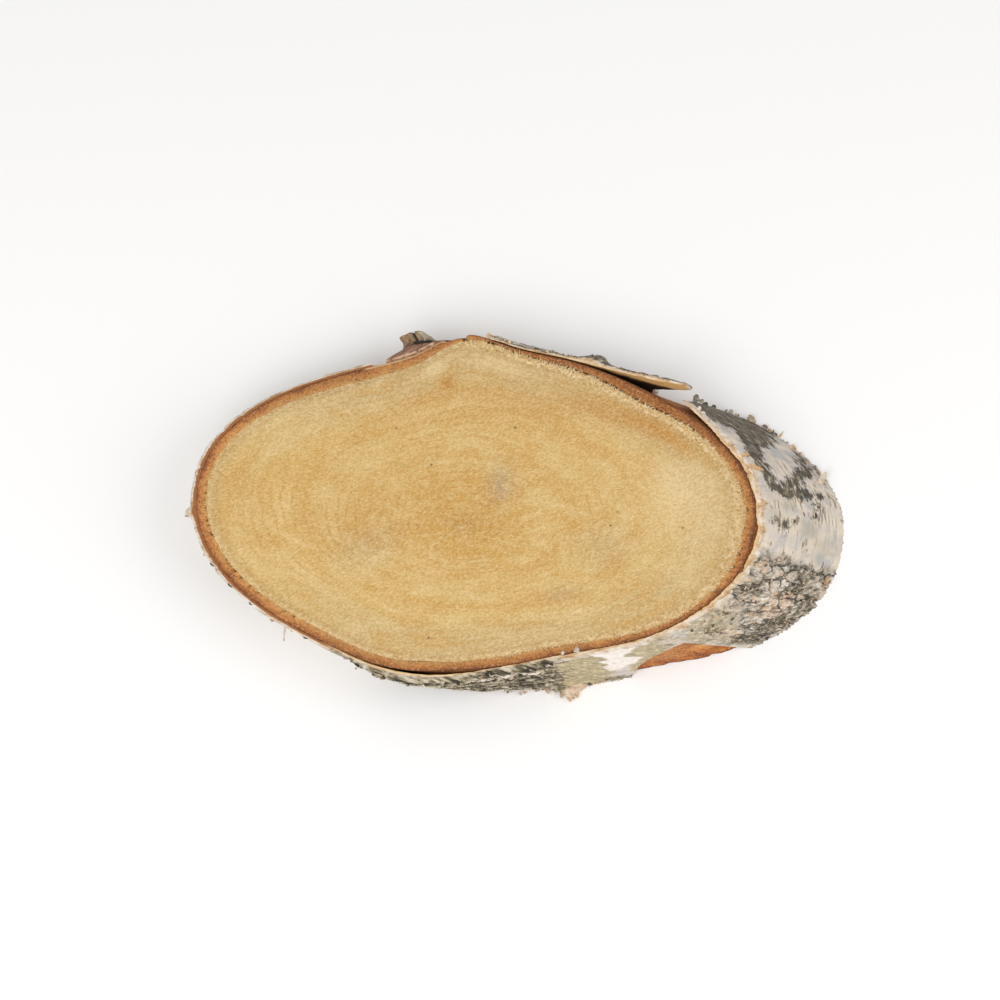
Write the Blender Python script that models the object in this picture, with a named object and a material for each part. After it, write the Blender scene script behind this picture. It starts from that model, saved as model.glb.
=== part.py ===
"""A birch wood slice: a trunk of about 90 mm, sawn across at a slant, so that its two faces are long ovals.

The trunk leans through the slice: going down from the top face, the sides move towards +X. Angles go round
the trunk, anticlockwise seen from above, from +X. Radii are measured square to the trunk's own axis, and a
slanted cut stretches them along X.
"""
from math import atan2, cos, degrees, exp, hypot, radians, sin, sqrt

import bmesh
import bpy
from mathutils import Vector, noise

MM = 0.001

# Driving dimensions, in millimetres and degrees
THICKNESS = 18.0
SAW_SLANT = 52.0
LEAN_X = 22.2
LEAN_Y = 2.2
RIM_RADIUS = 45.34
GAP = 0.3
OUTLINE_POINTS = 144
SHARP_FROM = 30.0

# Swellings of the trunk: height, angle of the middle, spread
RIM_SWELLINGS = (
    (-3.60, 49.8, 32.2),
    (4.66, 93.8, 8.5),
    (-4.84, 116.1, 33.1),
    (2.22, 254.9, 13.9),
    (-2.00, 290.2, 14.4),
    (-0.70, 175.0, 36.0),
)

# A hollow in the trunk under the lifted flap, which deepens down the side: depth at the bottom, angle, spread
SIDE_HOLLOW = ((4.6, 60.5, 12.5),)

# Inner bark: its width, and where it is wider or narrower
INNER_BARK_WIDTH = 2.4
INNER_BARK_SWELLINGS = (
    (0.8, 122.0, 20.0),
    (-1.1, 86.0, 8.0),
    (1.0, 48.0, 12.0),
    (-1.2, 323.0, 22.0),
    (-0.7, 180.0, 32.0),
)

# Outer bark: a sheet that runs clockwise from its torn end all round to the free end of the lifted flap
TORN_END = 42.2
TORN_END_SLANT = 6.0
TORN_SLANT_SHARE = 0.77
FLAP_END = 45.5
HALF_WAY = 0.5
SHEET_COLUMNS = 220
SHEET_ROWS = 7
PAPER_THICKNESS = 0.7
THINNEST_PAPER = 0.65
SHEET_SWELLINGS = (
    (0.5, 15.0, 30.0),
    (1.0, 330.0, 16.0),
    (0.6, 284.0, 14.0),
    (0.5, 67.0, 8.0),
)
TOP_PLATES = ((2.3, 257.0, 11.0),)
TOP_PLATES_LEFT_BELOW = 0.35
PLATE_ZONES = (
    (0.88, 330.0, 15.0),
    (0.80, 263.0, 18.0),
)
PLATE_SIZE = 5.0
PLATE_SEED = 40.0

# Lumps and tufts that stand out of the sheet: size, angle, spread, height, spread
LUMPS = (
    (1.7, 66.5, 2.2, 16.0, 2.0),
    (3.3, 274.1, 1.6, 0.5, 2.6),
    (1.1, 187.6, 1.5, 17.0, 1.6),
)

# Where the sheet stands off the inner bark; the lower gap is its depth, angle and spread
FLAP_ROOT = 81.0
FLAP_LIFT = 5.3
FLAP_TILT = 1.1
TORN_END_LIFT = 1.8
TORN_END_LIFT_LEFT_BELOW = 0.4
TORN_END_ROOT = 24.0
LOWER_GAP = (0.7, 264.0, 8.0)

# Edges of the sheet; the bare hump is its two angles and depth, the lower loss its height, angle and spread
EDGE_INSET = 0.1
EDGE_LOSS = 0.5
EDGE_LOSS_SIZE = 4.0
TOP_EDGE_SEED = 7.0
BOTTOM_EDGE_SEED = 23.0
BARE_HUMP = (89.3, 97.0, 9.0)
FLAP_END_BOTTOM = 15.4
FLAP_BOTTOM_FALL = 0.45
FLAP_BEND = 11.0
FLAP_STEEP_FALL = 0.6
CHIP_LEFT = 287.0
CHIP_PEAK = 310.0
CHIP_RIGHT = 312.5
CHIP_HEIGHT = 11.6
LOWER_LOSS = (3.0, 262.5, 10.5)

# Branch stub: the middle and half size of its foot, and its broken end
STUB_ANGLE = 105.9
STUB_HEIGHT = 12.0
STUB_HALF_ANGLE = 9.0
STUB_HALF_HEIGHT = 8.0
STUB_TOP = THICKNESS - 0.2
STUB_CLEARANCE = 0.8
STUB_REACH = 6.0
STUB_END_ANGLE = 104.6
STUB_END_HEIGHT = 13.4
STUB_END_HALF_WIDTH = 4.2
STUB_END_HALF_HEIGHT = 3.9
STUB_END_SLANT = 1.0
STUB_LOBE = 2.7
STUB_SEGMENTS = 28

# Rings along the stub: shares of the foot's size, then how far out each ring lies with how much it has the
# end's shape, then shares of the end's size with how far they stand out of it
STUB_FOOT_SHARES = (0.2, 0.6)
STUB_STATIONS = ((0.0, 0.0), (0.10, 0.30), (0.28, 0.62), (0.52, 0.86), (0.78, 1.0), (1.0, 1.0))
STUB_DOME = ((0.8, 1.0), (0.5, 1.8), (0.15, 2.1))
STUB_FOOT_RISE = 2.5
STUB_SPLINTERS = 1.2
STUB_SPLINTER_RUN = 3.0
STUB_SPLINTER_SEED = 5.0
STUB_SIDE_RELIEF = 0.3

# Colours as linear red, green, blue, then roughness
FINISHES = {
    "wood": ((0.66, 0.44, 0.19), 0.75),
    "inner_bark": ((0.36, 0.13, 0.035), 0.85),
    "outer_bark": ((0.55, 0.52, 0.47), 0.7),
    "branch_stub": ((0.14, 0.085, 0.06), 0.9),
}

STRETCH = 1.0 / cos(radians(SAW_SLANT))


def away(angle, middle):
    """The signed way round from middle to angle, in degrees."""
    return (angle - middle + 180.0) % 360.0 - 180.0


def bell(share):
    """1 at 0, falling smoothly to nearly 0 at 2."""
    return exp(-share * share)


def swell(swellings, angle):
    """The height at this angle of a row of soft swellings."""
    return sum(height * bell(away(angle, middle) / spread) for height, middle, spread in swellings)


def from_below(below, height):
    """Goes evenly from this value on the bottom face to 1 on the top face."""
    return below + (1.0 - below) * height / THICKNESS


def ease(value):
    """0 below 0, 1 above 1 and a smooth step between them."""
    value = min(1.0, max(0.0, value))
    return value * value * (3.0 - 2.0 * value)


def roughness(angle, height, size, seed):
    """Smooth noise on the trunk's side, from about -1 to 1, with lumps of this size in millimetres."""
    turn = radians(angle)
    spot = Vector((RIM_RADIUS * cos(turn), RIM_RADIUS * sin(turn), height + seed)) / size
    return noise.noise(spot)


def side_hollow(angle, height):
    """How far the trunk's side is hollowed at this height."""
    return swell(SIDE_HOLLOW, angle) * (THICKNESS - height) / THICKNESS


def rim(angle, height=THICKNESS):
    """Radius of the outside of the inner bark."""
    return RIM_RADIUS + swell(RIM_SWELLINGS, angle) - side_hollow(angle, height)


def inner_bark_foot(angle):
    """Radius of the inside of the inner bark, on the top face."""
    return rim(angle) - INNER_BARK_WIDTH - swell(INNER_BARK_SWELLINGS, angle)


def place(angle, radius, height):
    """A point of the slice in metres, from its angle, its radius square to the trunk and its height."""
    depth = (THICKNESS - height) / THICKNESS
    turn = radians(angle)
    x = radius * cos(turn) * STRETCH + LEAN_X * depth
    y = radius * sin(turn) + LEAN_Y * depth
    return Vector((x, y, height)) * MM


def place_of(point):
    """The angle, radius and height that place() takes for this point."""
    height = point.z / MM
    depth = (THICKNESS - height) / THICKNESS
    across = (point.x / MM - LEAN_X * depth) / STRETCH
    onward = point.y / MM - LEAN_Y * depth
    return degrees(atan2(onward, across)), hypot(across, onward), height


def outline(bm, radius_at):
    """A closed loop of vertices on the top face, with the radius that radius_at gives."""
    step = 360.0 / OUTLINE_POINTS
    angles = [step * index for index in range(OUTLINE_POINTS)]
    return [bm.verts.new(place(angle, radius_at(angle), THICKNESS)) for angle in angles]


def loop_edges(bm, verts):
    """The closed run of edges through these vertices."""
    return [bm.edges.new((verts[index - 1], verts[index])) for index in range(len(verts))]


def push_down(bm):
    """Extrudes the top face to the bottom one, along the leaning trunk."""
    faces = list(bm.faces)
    copied = bmesh.ops.extrude_face_region(bm, geom=faces, use_keep_orig=True)
    low = [item for item in copied["geom"] if isinstance(item, bmesh.types.BMVert)]
    for vert in low:
        angle, radius, _ = place_of(vert.co)
        vert.co = place(angle, radius - side_hollow(angle, 0.0), 0.0)


def finish_object(bm, name):
    """Turns the mesh into a named object with its own material."""
    bmesh.ops.recalc_face_normals(bm, faces=bm.faces)
    if bm.calc_volume(signed=True) < 0.0:
        bmesh.ops.reverse_faces(bm, faces=bm.faces)
    mesh = bpy.data.meshes.new(name)
    bm.to_mesh(mesh)
    bm.free()
    mesh.shade_smooth()
    mesh.set_sharp_from_angle(angle=radians(SHARP_FROM))
    colour, rough = FINISHES[name]
    material = bpy.data.materials.new(name)
    material.use_nodes = True
    shader = material.node_tree.nodes["Principled BSDF"]
    shader.inputs["Base Color"].default_value = (*colour, 1.0)
    shader.inputs["Roughness"].default_value = rough
    shader.inputs["Metallic"].default_value = 0.0
    mesh.materials.append(material)
    made = bpy.data.objects.new(name, mesh)
    bpy.context.collection.objects.link(made)
    return made


def make_wood():
    """The sapwood and heartwood, one flat oval disc with leaning sides."""
    bm = bmesh.new()
    bm.faces.new(outline(bm, lambda angle: inner_bark_foot(angle) - GAP))
    push_down(bm)
    return finish_object(bm, "wood")


def make_inner_bark():
    """The rust-brown ring between the wood and the papery bark."""
    bm = bmesh.new()
    inside = loop_edges(bm, outline(bm, inner_bark_foot))
    outside = loop_edges(bm, outline(bm, rim))
    bmesh.ops.bridge_loops(bm, edges=inside + outside)
    push_down(bm)
    return finish_object(bm, "inner_bark")


def sheet_angle(along, up):
    """Angle of a point of the outer bark: along goes from 0 at the torn end to 1 at the flap's end."""
    start = TORN_END + TORN_END_SLANT * ease((1.0 - up) / TORN_SLANT_SHARE)
    sweep = start + 360.0 - FLAP_END
    return start - sweep * along


def torn_share(along, angle):
    """0 up to where the torn end starts to lift, 1 at its edge."""
    if along > HALF_WAY:
        return 0.0
    return min(1.0, max(0.0, away(angle, TORN_END_ROOT)) / (TORN_END - TORN_END_ROOT))


def flap_share(along, angle):
    """0 up to the root of the flap, 1 at its free end, and 0 on the torn end, which lies at like angles."""
    if along < HALF_WAY:
        return 0.0
    return max(0.0, away(FLAP_ROOT, angle)) / (FLAP_ROOT - FLAP_END)


def sheet_lift(along, angle, height):
    """How far the sheet stands off the inner bark, besides the gap that every piece keeps."""
    torn = TORN_END_LIFT * torn_share(along, angle) ** 2 * from_below(TORN_END_LIFT_LEFT_BELOW, height)
    flap = FLAP_LIFT * flap_share(along, angle) ** 3 * max(0.0, from_below(1.0 - FLAP_TILT, height))
    return torn + flap + swell((LOWER_GAP,), angle) * from_below(0.0, height)


def sheet_thickness(angle, height):
    """Thickness of the outer bark: paper on the left, thick rough plates below and at the lower right."""
    plates = swell(TOP_PLATES, angle) * from_below(TOP_PLATES_LEFT_BELOW, height)
    relief = swell(PLATE_ZONES, angle) * roughness(angle, height, PLATE_SIZE, PLATE_SEED)
    base = PAPER_THICKNESS + swell(SHEET_SWELLINGS, angle) + plates + relief
    thickness = max(THINNEST_PAPER, base)
    for size, middle, spread, lump_height, lump_spread in LUMPS:
        thickness += size * bell(away(angle, middle) / spread) * bell((height - lump_height) / lump_spread)
    return thickness


def edge_loss(angle, seed):
    """How much of the sheet's edge has crumbled away here."""
    return EDGE_LOSS * max(0.0, roughness(angle, 0.0, EDGE_LOSS_SIZE, seed))


def sheet_top(along, angle):
    """Height of the sheet's top edge: sawn flush, but missing on the hump and round the stub."""
    top = THICKNESS - EDGE_INSET - edge_loss(angle, TOP_EDGE_SEED)
    bare_from, bare_to, bare_depth = BARE_HUMP
    if along > HALF_WAY and bare_from < angle % 360.0 < bare_to:
        share = (angle % 360.0 - bare_from) / (bare_to - bare_from)
        top = min(top, THICKNESS - bare_depth * sqrt(sin(radians(180.0 * share))))
    clearance_angle = degrees(STUB_CLEARANCE / rim(STUB_ANGLE))
    off = away(angle, STUB_ANGLE) / (STUB_HALF_ANGLE + clearance_angle)
    if abs(off) < 1.0:
        clear = STUB_HALF_HEIGHT + STUB_CLEARANCE
        top = min(top, STUB_HEIGHT - clear * sqrt(1.0 - off * off))
    return top


def sheet_bottom(along, angle):
    """Height of the sheet's bottom edge: sawn flush, but for the chip, a broken stretch and the flap."""
    bottom = edge_loss(angle, BOTTOM_EDGE_SEED)
    turn = angle % 360.0
    if CHIP_LEFT < turn < CHIP_RIGHT:
        rise = (turn - CHIP_LEFT) / (CHIP_PEAK - CHIP_LEFT)
        fall = (CHIP_RIGHT - turn) / (CHIP_RIGHT - CHIP_PEAK)
        bottom = max(bottom, CHIP_HEIGHT * min(rise, fall))
    loss, middle, spread = LOWER_LOSS
    bottom += loss * bell((away(turn, middle) / spread) ** 2)
    if flap_share(along, angle) > 0.0:
        back = turn - FLAP_END
        fall = FLAP_BOTTOM_FALL * back + FLAP_STEEP_FALL * max(0.0, back - FLAP_BEND)
        bottom = max(bottom, FLAP_END_BOTTOM - fall)
    return bottom


def make_outer_bark():
    """The papery outer bark, made as a flat slab and then bent round the trunk."""
    bm = bmesh.new()
    bmesh.ops.create_grid(bm, x_segments=SHEET_COLUMNS, y_segments=SHEET_ROWS, size=0.5)
    faces = list(bm.faces)
    copied = bmesh.ops.extrude_face_region(bm, geom=faces, use_keep_orig=True)
    outer = [item for item in copied["geom"] if isinstance(item, bmesh.types.BMVert)]
    bmesh.ops.translate(bm, verts=outer, vec=Vector((0.0, 0.0, 1.0)))
    for vert in bm.verts:
        along = vert.co.x + 0.5
        up = vert.co.y + 0.5
        angle = sheet_angle(along, up)
        low = sheet_bottom(along, angle)
        high = sheet_top(along, angle)
        height = low + (high - low) * up
        radius = rim(angle, height) + GAP + sheet_lift(along, angle, height)
        if vert.co.z > 0.5:
            radius += sheet_thickness(angle, height)
        vert.co = place(angle, radius, height)
    return finish_object(bm, "outer_bark")


def stub_foot(turn, share):
    """A point of the stub's foot on the inner bark, at this turn round it and share of its half size."""
    angle = STUB_ANGLE - STUB_HALF_ANGLE * share * cos(turn)
    height = min(STUB_TOP, STUB_HEIGHT + STUB_HALF_HEIGHT * share * sin(turn))
    return place(angle, rim(angle) + GAP, height)


def stub_end(turn, share, outwards):
    """A point of the stub's broken end, which slants back to the right and has a lobe on its left side."""
    lobe = STUB_LOBE * max(0.0, -cos(turn)) ** 3
    middle = place(STUB_END_ANGLE, rim(STUB_END_ANGLE) + STUB_REACH, STUB_END_HEIGHT)
    across = Vector((STUB_END_HALF_WIDTH + lobe, -STUB_END_SLANT, 0.0)) * share * cos(turn)
    upwards = Vector((0.0, 0.0, STUB_END_HALF_HEIGHT)) * share * sin(turn)
    return middle + (across + upwards + outwards) * MM


def stub_side(turn, onward, shaped):
    """A point of the stub's side, from its foot at onward 0 to its end at 1, kept clear of the inner bark."""
    axis = stub_end(0.0, 0.0, Vector()) - place(STUB_ANGLE, rim(STUB_ANGLE) + GAP, STUB_HEIGHT)
    foot = stub_foot(turn, 1.0) + axis * onward
    end = stub_end(turn, 1.0, Vector()) - axis * (1.0 - onward)
    run = Vector((cos(turn), sin(turn), 0.0)) * STUB_SPLINTER_RUN
    tooth = STUB_SPLINTERS * noise.noise(run + Vector((0.0, 0.0, STUB_SPLINTER_SEED)))
    relief = tooth if onward == 1.0 else STUB_SIDE_RELIEF * tooth * shaped
    angle, radius, height = place_of(foot.lerp(end, shaped) + axis.normalized() * relief * MM)
    return place(angle, max(radius, rim(angle) + GAP + STUB_FOOT_RISE * onward), height)


def make_branch_stub():
    """A broken side branch, with a flared foot that sits on the inner bark."""
    bm = bmesh.new()
    turns = [radians(360.0 * index / STUB_SEGMENTS) for index in range(STUB_SEGMENTS)]
    out = stub_end(0.0, 0.0, Vector()) - place(STUB_ANGLE, rim(STUB_ANGLE) + GAP, STUB_HEIGHT)
    out.normalize()
    rings = [[stub_foot(turn, share) for turn in turns] for share in STUB_FOOT_SHARES]
    for onward, shaped in STUB_STATIONS:
        rings.append([stub_side(turn, onward, shaped) for turn in turns])
    for share, height in STUB_DOME:
        rings.append([stub_end(turn, share, out * height) for turn in turns])
    loops = [loop_edges(bm, [bm.verts.new(point) for point in ring]) for ring in rings]
    for first, second in zip(loops, loops[1:]):
        bmesh.ops.bridge_loops(bm, edges=first + second)
    bmesh.ops.contextual_create(bm, geom=loops[0])
    bmesh.ops.contextual_create(bm, geom=loops[-1])
    return finish_object(bm, "branch_stub")


def clear_scene():
    """Removes what the file already holds."""
    for old in list(bpy.data.objects):
        bpy.data.objects.remove(old, do_unlink=True)


def centre_on_footprint(pieces):
    """Puts the origin under the middle of the whole slice, on the surface that it rests on."""
    points = [vert.co for piece in pieces for vert in piece.data.vertices]
    low = Vector(min(point[axis] for point in points) for axis in range(3))
    high = Vector(max(point[axis] for point in points) for axis in range(3))
    middle = (low + high) / 2.0
    for piece in pieces:
        for vert in piece.data.vertices:
            vert.co -= Vector((middle.x, middle.y, 0.0))


def main():
    clear_scene()
    pieces = [make_wood(), make_inner_bark(), make_outer_bark(), make_branch_stub()]
    centre_on_footprint(pieces)


main()
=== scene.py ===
"""The looks of a birch wood slice, laid out as an add-on: one operator for each piece and one for the stage.

Angles go round the trunk, anticlockwise seen from above, from +X. Radii are square to the trunk's own axis,
which leans through the slice, and the slanted cut stretches them along X. Shapes are in millimetres and degrees
until place() turns them into metres of the frame.
"""
import random
from math import atan2, cos, degrees, exp, floor, hypot, pi, radians, sin, sqrt

import bmesh
import bpy
from bpy.props import FloatProperty, FloatVectorProperty, PointerProperty
from mathutils import Matrix, Vector, noise


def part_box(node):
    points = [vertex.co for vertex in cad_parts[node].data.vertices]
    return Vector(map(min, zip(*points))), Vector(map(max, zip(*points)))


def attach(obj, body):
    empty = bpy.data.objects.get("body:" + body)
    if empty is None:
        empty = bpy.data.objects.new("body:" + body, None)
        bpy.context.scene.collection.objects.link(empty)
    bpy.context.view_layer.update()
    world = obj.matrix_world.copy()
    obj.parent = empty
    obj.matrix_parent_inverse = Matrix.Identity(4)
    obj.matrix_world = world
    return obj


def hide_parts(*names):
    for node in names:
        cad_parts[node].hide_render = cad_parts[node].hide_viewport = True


bl_info = {
    "name": "Birch wood slice",
    "version": (1, 0, 0),
    "blender": (4, 5, 0),
    "location": "View3D > Sidebar > Slice",
    "description": "Makes the pieces of a slanted slice of birch trunk with its bark",
    "category": "Add Mesh",
}

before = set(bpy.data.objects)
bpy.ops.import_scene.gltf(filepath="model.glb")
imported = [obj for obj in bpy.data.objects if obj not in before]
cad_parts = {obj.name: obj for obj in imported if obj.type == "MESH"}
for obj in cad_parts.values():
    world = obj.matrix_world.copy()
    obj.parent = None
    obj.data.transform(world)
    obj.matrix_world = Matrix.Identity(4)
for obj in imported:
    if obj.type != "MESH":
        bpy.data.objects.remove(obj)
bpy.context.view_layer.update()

MM = 0.001

# The trunk and its layers, as the solids have them
THICKNESS = 18.0
SAW_SLANT = 52.0
LEAN_X = 22.2
LEAN_Y = 2.2
RIM_RADIUS = 45.34
GAP = 0.3
OUTLINE_POINTS = 144
STRETCH = 1.0 / cos(radians(SAW_SLANT))

# Swellings of the trunk and of the layers' widths: height, angle of the middle, spread
RIM_SWELLINGS = (
    (-3.60, 49.8, 32.2),
    (4.66, 93.8, 8.5),
    (-4.84, 116.1, 33.1),
    (2.22, 254.9, 13.9),
    (-2.00, 290.2, 14.4),
    (-0.70, 175.0, 36.0),
)
SIDE_HOLLOW = ((4.6, 60.5, 12.5),)
INNER_BARK_WIDTH = 2.4
INNER_BARK_SWELLINGS = (
    (0.8, 122.0, 20.0),
    (-1.1, 86.0, 8.0),
    (1.0, 48.0, 12.0),
    (-1.2, 323.0, 22.0),
    (-0.7, 180.0, 32.0),
)
PAPER_THICKNESS = 0.7
SHEET_SWELLINGS = (
    (0.5, 15.0, 30.0),
    (1.0, 330.0, 16.0),
    (0.6, 284.0, 14.0),
    (0.5, 67.0, 8.0),
)
TOP_PLATES = ((2.3, 257.0, 11.0),)
TOP_PLATES_LEFT_BELOW = 0.35

# Lumps and tufts that stand out of the bark: size, angle, spread, height, spread
LUMPS = (
    (1.7, 66.5, 2.2, 16.0, 2.0),
    (3.3, 274.1, 1.6, 0.5, 2.6),
    (1.1, 187.6, 1.5, 17.0, 1.6),
)

# Ends, gaps and edges of the bark's sheet
TORN_END = 42.2
TORN_END_SLANT = 7.6
TORN_SLANT_SHARE = 0.77
TORN_END_LIFT = 1.8
TORN_END_LIFT_LEFT_BELOW = 0.4
TORN_END_ROOT = 24.0
FLAP_ROOT = 81.0
FLAP_END = 45.5
FLAP_LIFT = 5.3
FLAP_TILT = 1.1
FLAP_END_BOTTOM = 15.4
FLAP_BOTTOM_FALL = 0.45
FLAP_BEND = 11.0
FLAP_STEEP_FALL = 0.6
HALF_WAY = 0.5
LOWER_GAP = ((0.7, 264.0, 8.0),)
BARE_HUMP = (89.3, 97.0, 9.0)
CHIP_LEFT = 286.0
CHIP_PEAK = 309.2
CHIP_RIGHT = 312.2
CHIP_HEIGHT = 12.0
CHIP_BULGE = 0.7
LOWER_LOSS = (3.0, 262.5, 10.5)

# The broken side branch
STUB_ANGLE = 105.9
STUB_HEIGHT = 12.0
STUB_HALF_ANGLE = 9.0
STUB_HALF_HEIGHT = 8.0
STUB_CLEARANCE = 0.8
STUB_REACH = 6.0
STUB_END_ANGLE = 104.6
STUB_END_HEIGHT = 13.4

# The pith, from the trunk's axis, square to it
PITH = Vector((-1.9, -7.8))


def away(angle, middle):
    """The signed way round from middle to angle, in degrees."""
    return (angle - middle + 180.0) % 360.0 - 180.0


def bell(share):
    """1 at 0, falling smoothly to nearly 0 at 2."""
    return exp(-share * share)


def swell(swellings, angle):
    """The height at this angle of a row of soft swellings."""
    return sum(height * bell(away(angle, middle) / spread) for height, middle, spread in swellings)


def ease(value):
    """0 below 0, 1 above 1 and a smooth step between them."""
    value = min(1.0, max(0.0, value))
    return value * value * (3.0 - 2.0 * value)


def between(angle, start, end, soft):
    """1 from start to end, anticlockwise, with soft sides of this many degrees."""
    half = (end - start) % 360.0 / 2.0
    return ease((half - abs(away(angle, start + half))) / soft + 0.5)


def from_below(below, height):
    """Goes evenly from this value on the bottom face to 1 on the top face."""
    return below + (1.0 - below) * height / THICKNESS


def side_hollow(angle, height):
    """How far the trunk's side is hollowed at this height."""
    return swell(SIDE_HOLLOW, angle) * (THICKNESS - height) / THICKNESS


def rim(angle, height=THICKNESS):
    """Radius of the outside of the inner bark."""
    return RIM_RADIUS + swell(RIM_SWELLINGS, angle) - side_hollow(angle, height)


def inner_bark_foot(angle, height=THICKNESS):
    """Radius of the inside of the inner bark."""
    return rim(angle, height) - INNER_BARK_WIDTH - swell(INNER_BARK_SWELLINGS, angle)


def leaned(angle, radius, height):
    """A point from its angle, radius and height, in metres from where the trunk's axis meets the top face."""
    depth = (THICKNESS - height) / THICKNESS
    turn = radians(angle)
    x = radius * cos(turn) * STRETCH + LEAN_X * depth
    y = radius * sin(turn) + LEAN_Y * depth
    return Vector((x, y, height)) * MM


def axis_on_top():
    """Where the trunk's axis meets the top face, from the real inner bark set against its own formula."""
    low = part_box("inner_bark")[0]
    turns = [360.0 * index / OUTLINE_POINTS for index in range(OUTLINE_POINTS)]
    own = [leaned(angle, rim(angle), THICKNESS) for angle in turns]
    return Vector((low.x - min(point.x for point in own), low.y - min(point.y for point in own), 0.0))


AXIS_ON_TOP = axis_on_top()


def place(angle, radius, height):
    """A point of the slice in the frame, in metres."""
    return leaned(angle, radius, height) + AXIS_ON_TOP


def place_of(point):
    """The angle, radius and height that place() takes for this point."""
    own = (point - AXIS_ON_TOP) / MM
    depth = (THICKNESS - own.z) / THICKNESS
    across = (own.x - LEAN_X * depth) / STRETCH
    onward = own.y - LEAN_Y * depth
    return degrees(atan2(onward, across)), hypot(across, onward), own.z


def on_trunk(angle, radius, height, size=1.0, along=1.0):
    """The point on the round trunk, for noise of this size in mm, drawn out this many times round it."""
    turn = radians(angle)
    return Vector((radius * cos(turn) / along, radius * sin(turn) / along, height)) / size


def side_and_share(share, cells):
    """Which side of a section this share of the way round lies on, and how far along that side."""
    spot = share * sum(cells)
    for side, count in enumerate(cells[:-1]):
        if spot < count:
            return side, spot / count
        spot -= count
    return len(cells) - 1, spot / cells[-1]


def keep_inside(bm, node):
    """Holds every vertex inside the box of this solid."""
    low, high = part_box(node)
    for vert in bm.verts:
        vert.co = Vector(min(high[axis], max(low[axis], vert.co[axis])) for axis in range(3))


def link_piece(bm, name, material, sharp=60.0):
    """Turns the mesh into a piece that rides on the slice."""
    mesh = bpy.data.meshes.new(name)
    bm.to_mesh(mesh)
    bm.free()
    mesh.shade_smooth()
    mesh.set_sharp_from_angle(angle=radians(sharp))
    mesh.materials.append(material)
    piece = bpy.data.objects.new(name, mesh)
    bpy.context.scene.collection.objects.link(piece)
    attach(piece, "root")
    return piece


def linear(code):
    """An sRGB hex colour as linear red, green and blue."""
    channels = [int(code[start:start + 2], 16) / 255.0 for start in (1, 3, 5)]
    return tuple(c / 12.92 if c <= 0.04045 else ((c + 0.055) / 1.055) ** 2.4 for c in channels)


def add(tree, kind, inputs=(), stops=(), out=0, **settings):
    """Adds a node with its settings and ramp stops, links or sets its inputs, and gives back one output."""
    node = tree.nodes.new("ShaderNode" + kind)
    for name, value in settings.items():
        setattr(node, name, value)
    for key, value in dict(inputs).items():
        if isinstance(value, bpy.types.NodeSocket):
            tree.links.new(value, node.inputs[key])
        else:
            node.inputs[key].default_value = value
    for index, (position, value) in enumerate(stops):
        elements = node.color_ramp.elements
        element = elements[index] if index < 2 else elements.new(position)
        element.position = position
        element.color = (*value, 1.0) if isinstance(value, tuple) else (value, value, value, 1.0)
    return node.outputs[out]


def new_material(name, roughness):
    """A material, its node tree and its shader, with this roughness."""
    material = bpy.data.materials.new(name)
    material.use_nodes = True
    shader = material.node_tree.nodes["Principled BSDF"]
    shader.inputs["Roughness"].default_value = roughness
    return material, material.node_tree, shader


# Sawn wood

WOOD_CELLS = 280
UNDERSIDE_CELLS = 110
# Warmer and paler spots of the face: how warm, angle, radius, spread along, spread across, turn of the spot
FACE_SPOTS = (
    (1.5, 99.0, 33.0, 2.6, 1.8, 60.0),
    (-0.9, 101.5, 36.5, 4.2, 3.0, 70.0),
    (1.0, 45.0, 33.5, 18.0, 3.8, -22.0),
    (1.1, 31.0, 36.5, 11.0, 2.8, -33.0),
    (0.7, 78.0, 28.0, 22.0, 4.0, -8.0),
    (0.5, 118.0, 27.0, 13.0, 3.0, 22.0),
    (-0.35, 85.0, 37.5, 12.0, 3.0, -14.0),
    (-0.75, 6.0, 33.0, 13.0, 14.0, 20.0),
    (-0.3, 150.0, 36.0, 10.0, 7.0, 30.0),
    (-0.2, 215.0, 34.0, 20.0, 4.0, -35.0),
    (0.45, 182.0, 38.0, 7.0, 12.0, 0.0),
    (0.3, 195.0, 20.0, 14.0, 9.0, 0.0),
    (0.4, 256.5, 6.0, 7.0, 2.6, 0.0),
    (-1.0, 256.5, 8.0, 1.3, 0.5, -6.0),
    (-0.45, 248.9, 18.1, 9.0, 0.4, -87.4),
    (-0.45, 315.1, 20.4, 10.0, 0.4, -80.6),
    (-1.0, 117.8, 35.0, 1.9, 0.6, 55.0),
    (-1.0, 132.1, 31.2, 1.8, 0.5, -40.0),
    (-0.8, 123.2, 30.3, 1.7, 0.5, 20.0),
    (-0.9, 111.0, 38.0, 1.9, 0.6, 65.0),
    (-0.9, 270.0, 26.0, 2.2, 0.5, -25.0),
    (-0.8, 228.0, 22.0, 3.4, 0.7, 35.0),
    (-0.8, 300.0, 34.0, 1.6, 0.6, 10.0),
    (-0.7, 62.0, 20.0, 1.6, 0.5, -30.0),
    (-0.7, 205.0, 31.0, 3.2, 0.5, -25.0),
    (-0.8, 248.0, 33.0, 1.8, 0.5, -30.0),
)
GREY_SPOTS = (
    (0.9, 45.0, 5.8, 3.4, 5.0, 0.0),
    (0.5, 300.0, 29.0, 5.0, 2.5, 10.0),
    (0.4, 220.0, 22.0, 9.0, 5.0, 30.0),
    (0.45, 330.0, 24.0, 7.0, 6.0, 0.0),
)


# The shares of the way out from which the wood's edge is torn and its felt is frayed
EDGE_FROM = 0.985
FRAYED_FROM = 0.96
# The felt's fibres lie this many degrees round from +X and are drawn out this many times
FELT_LIE = 28.0
FELT_DRAWN = 1.6
# The inner rings are even; only the outer ones follow the swellings of the trunk from this radius
EVEN_RADIUS = 41.0
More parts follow.
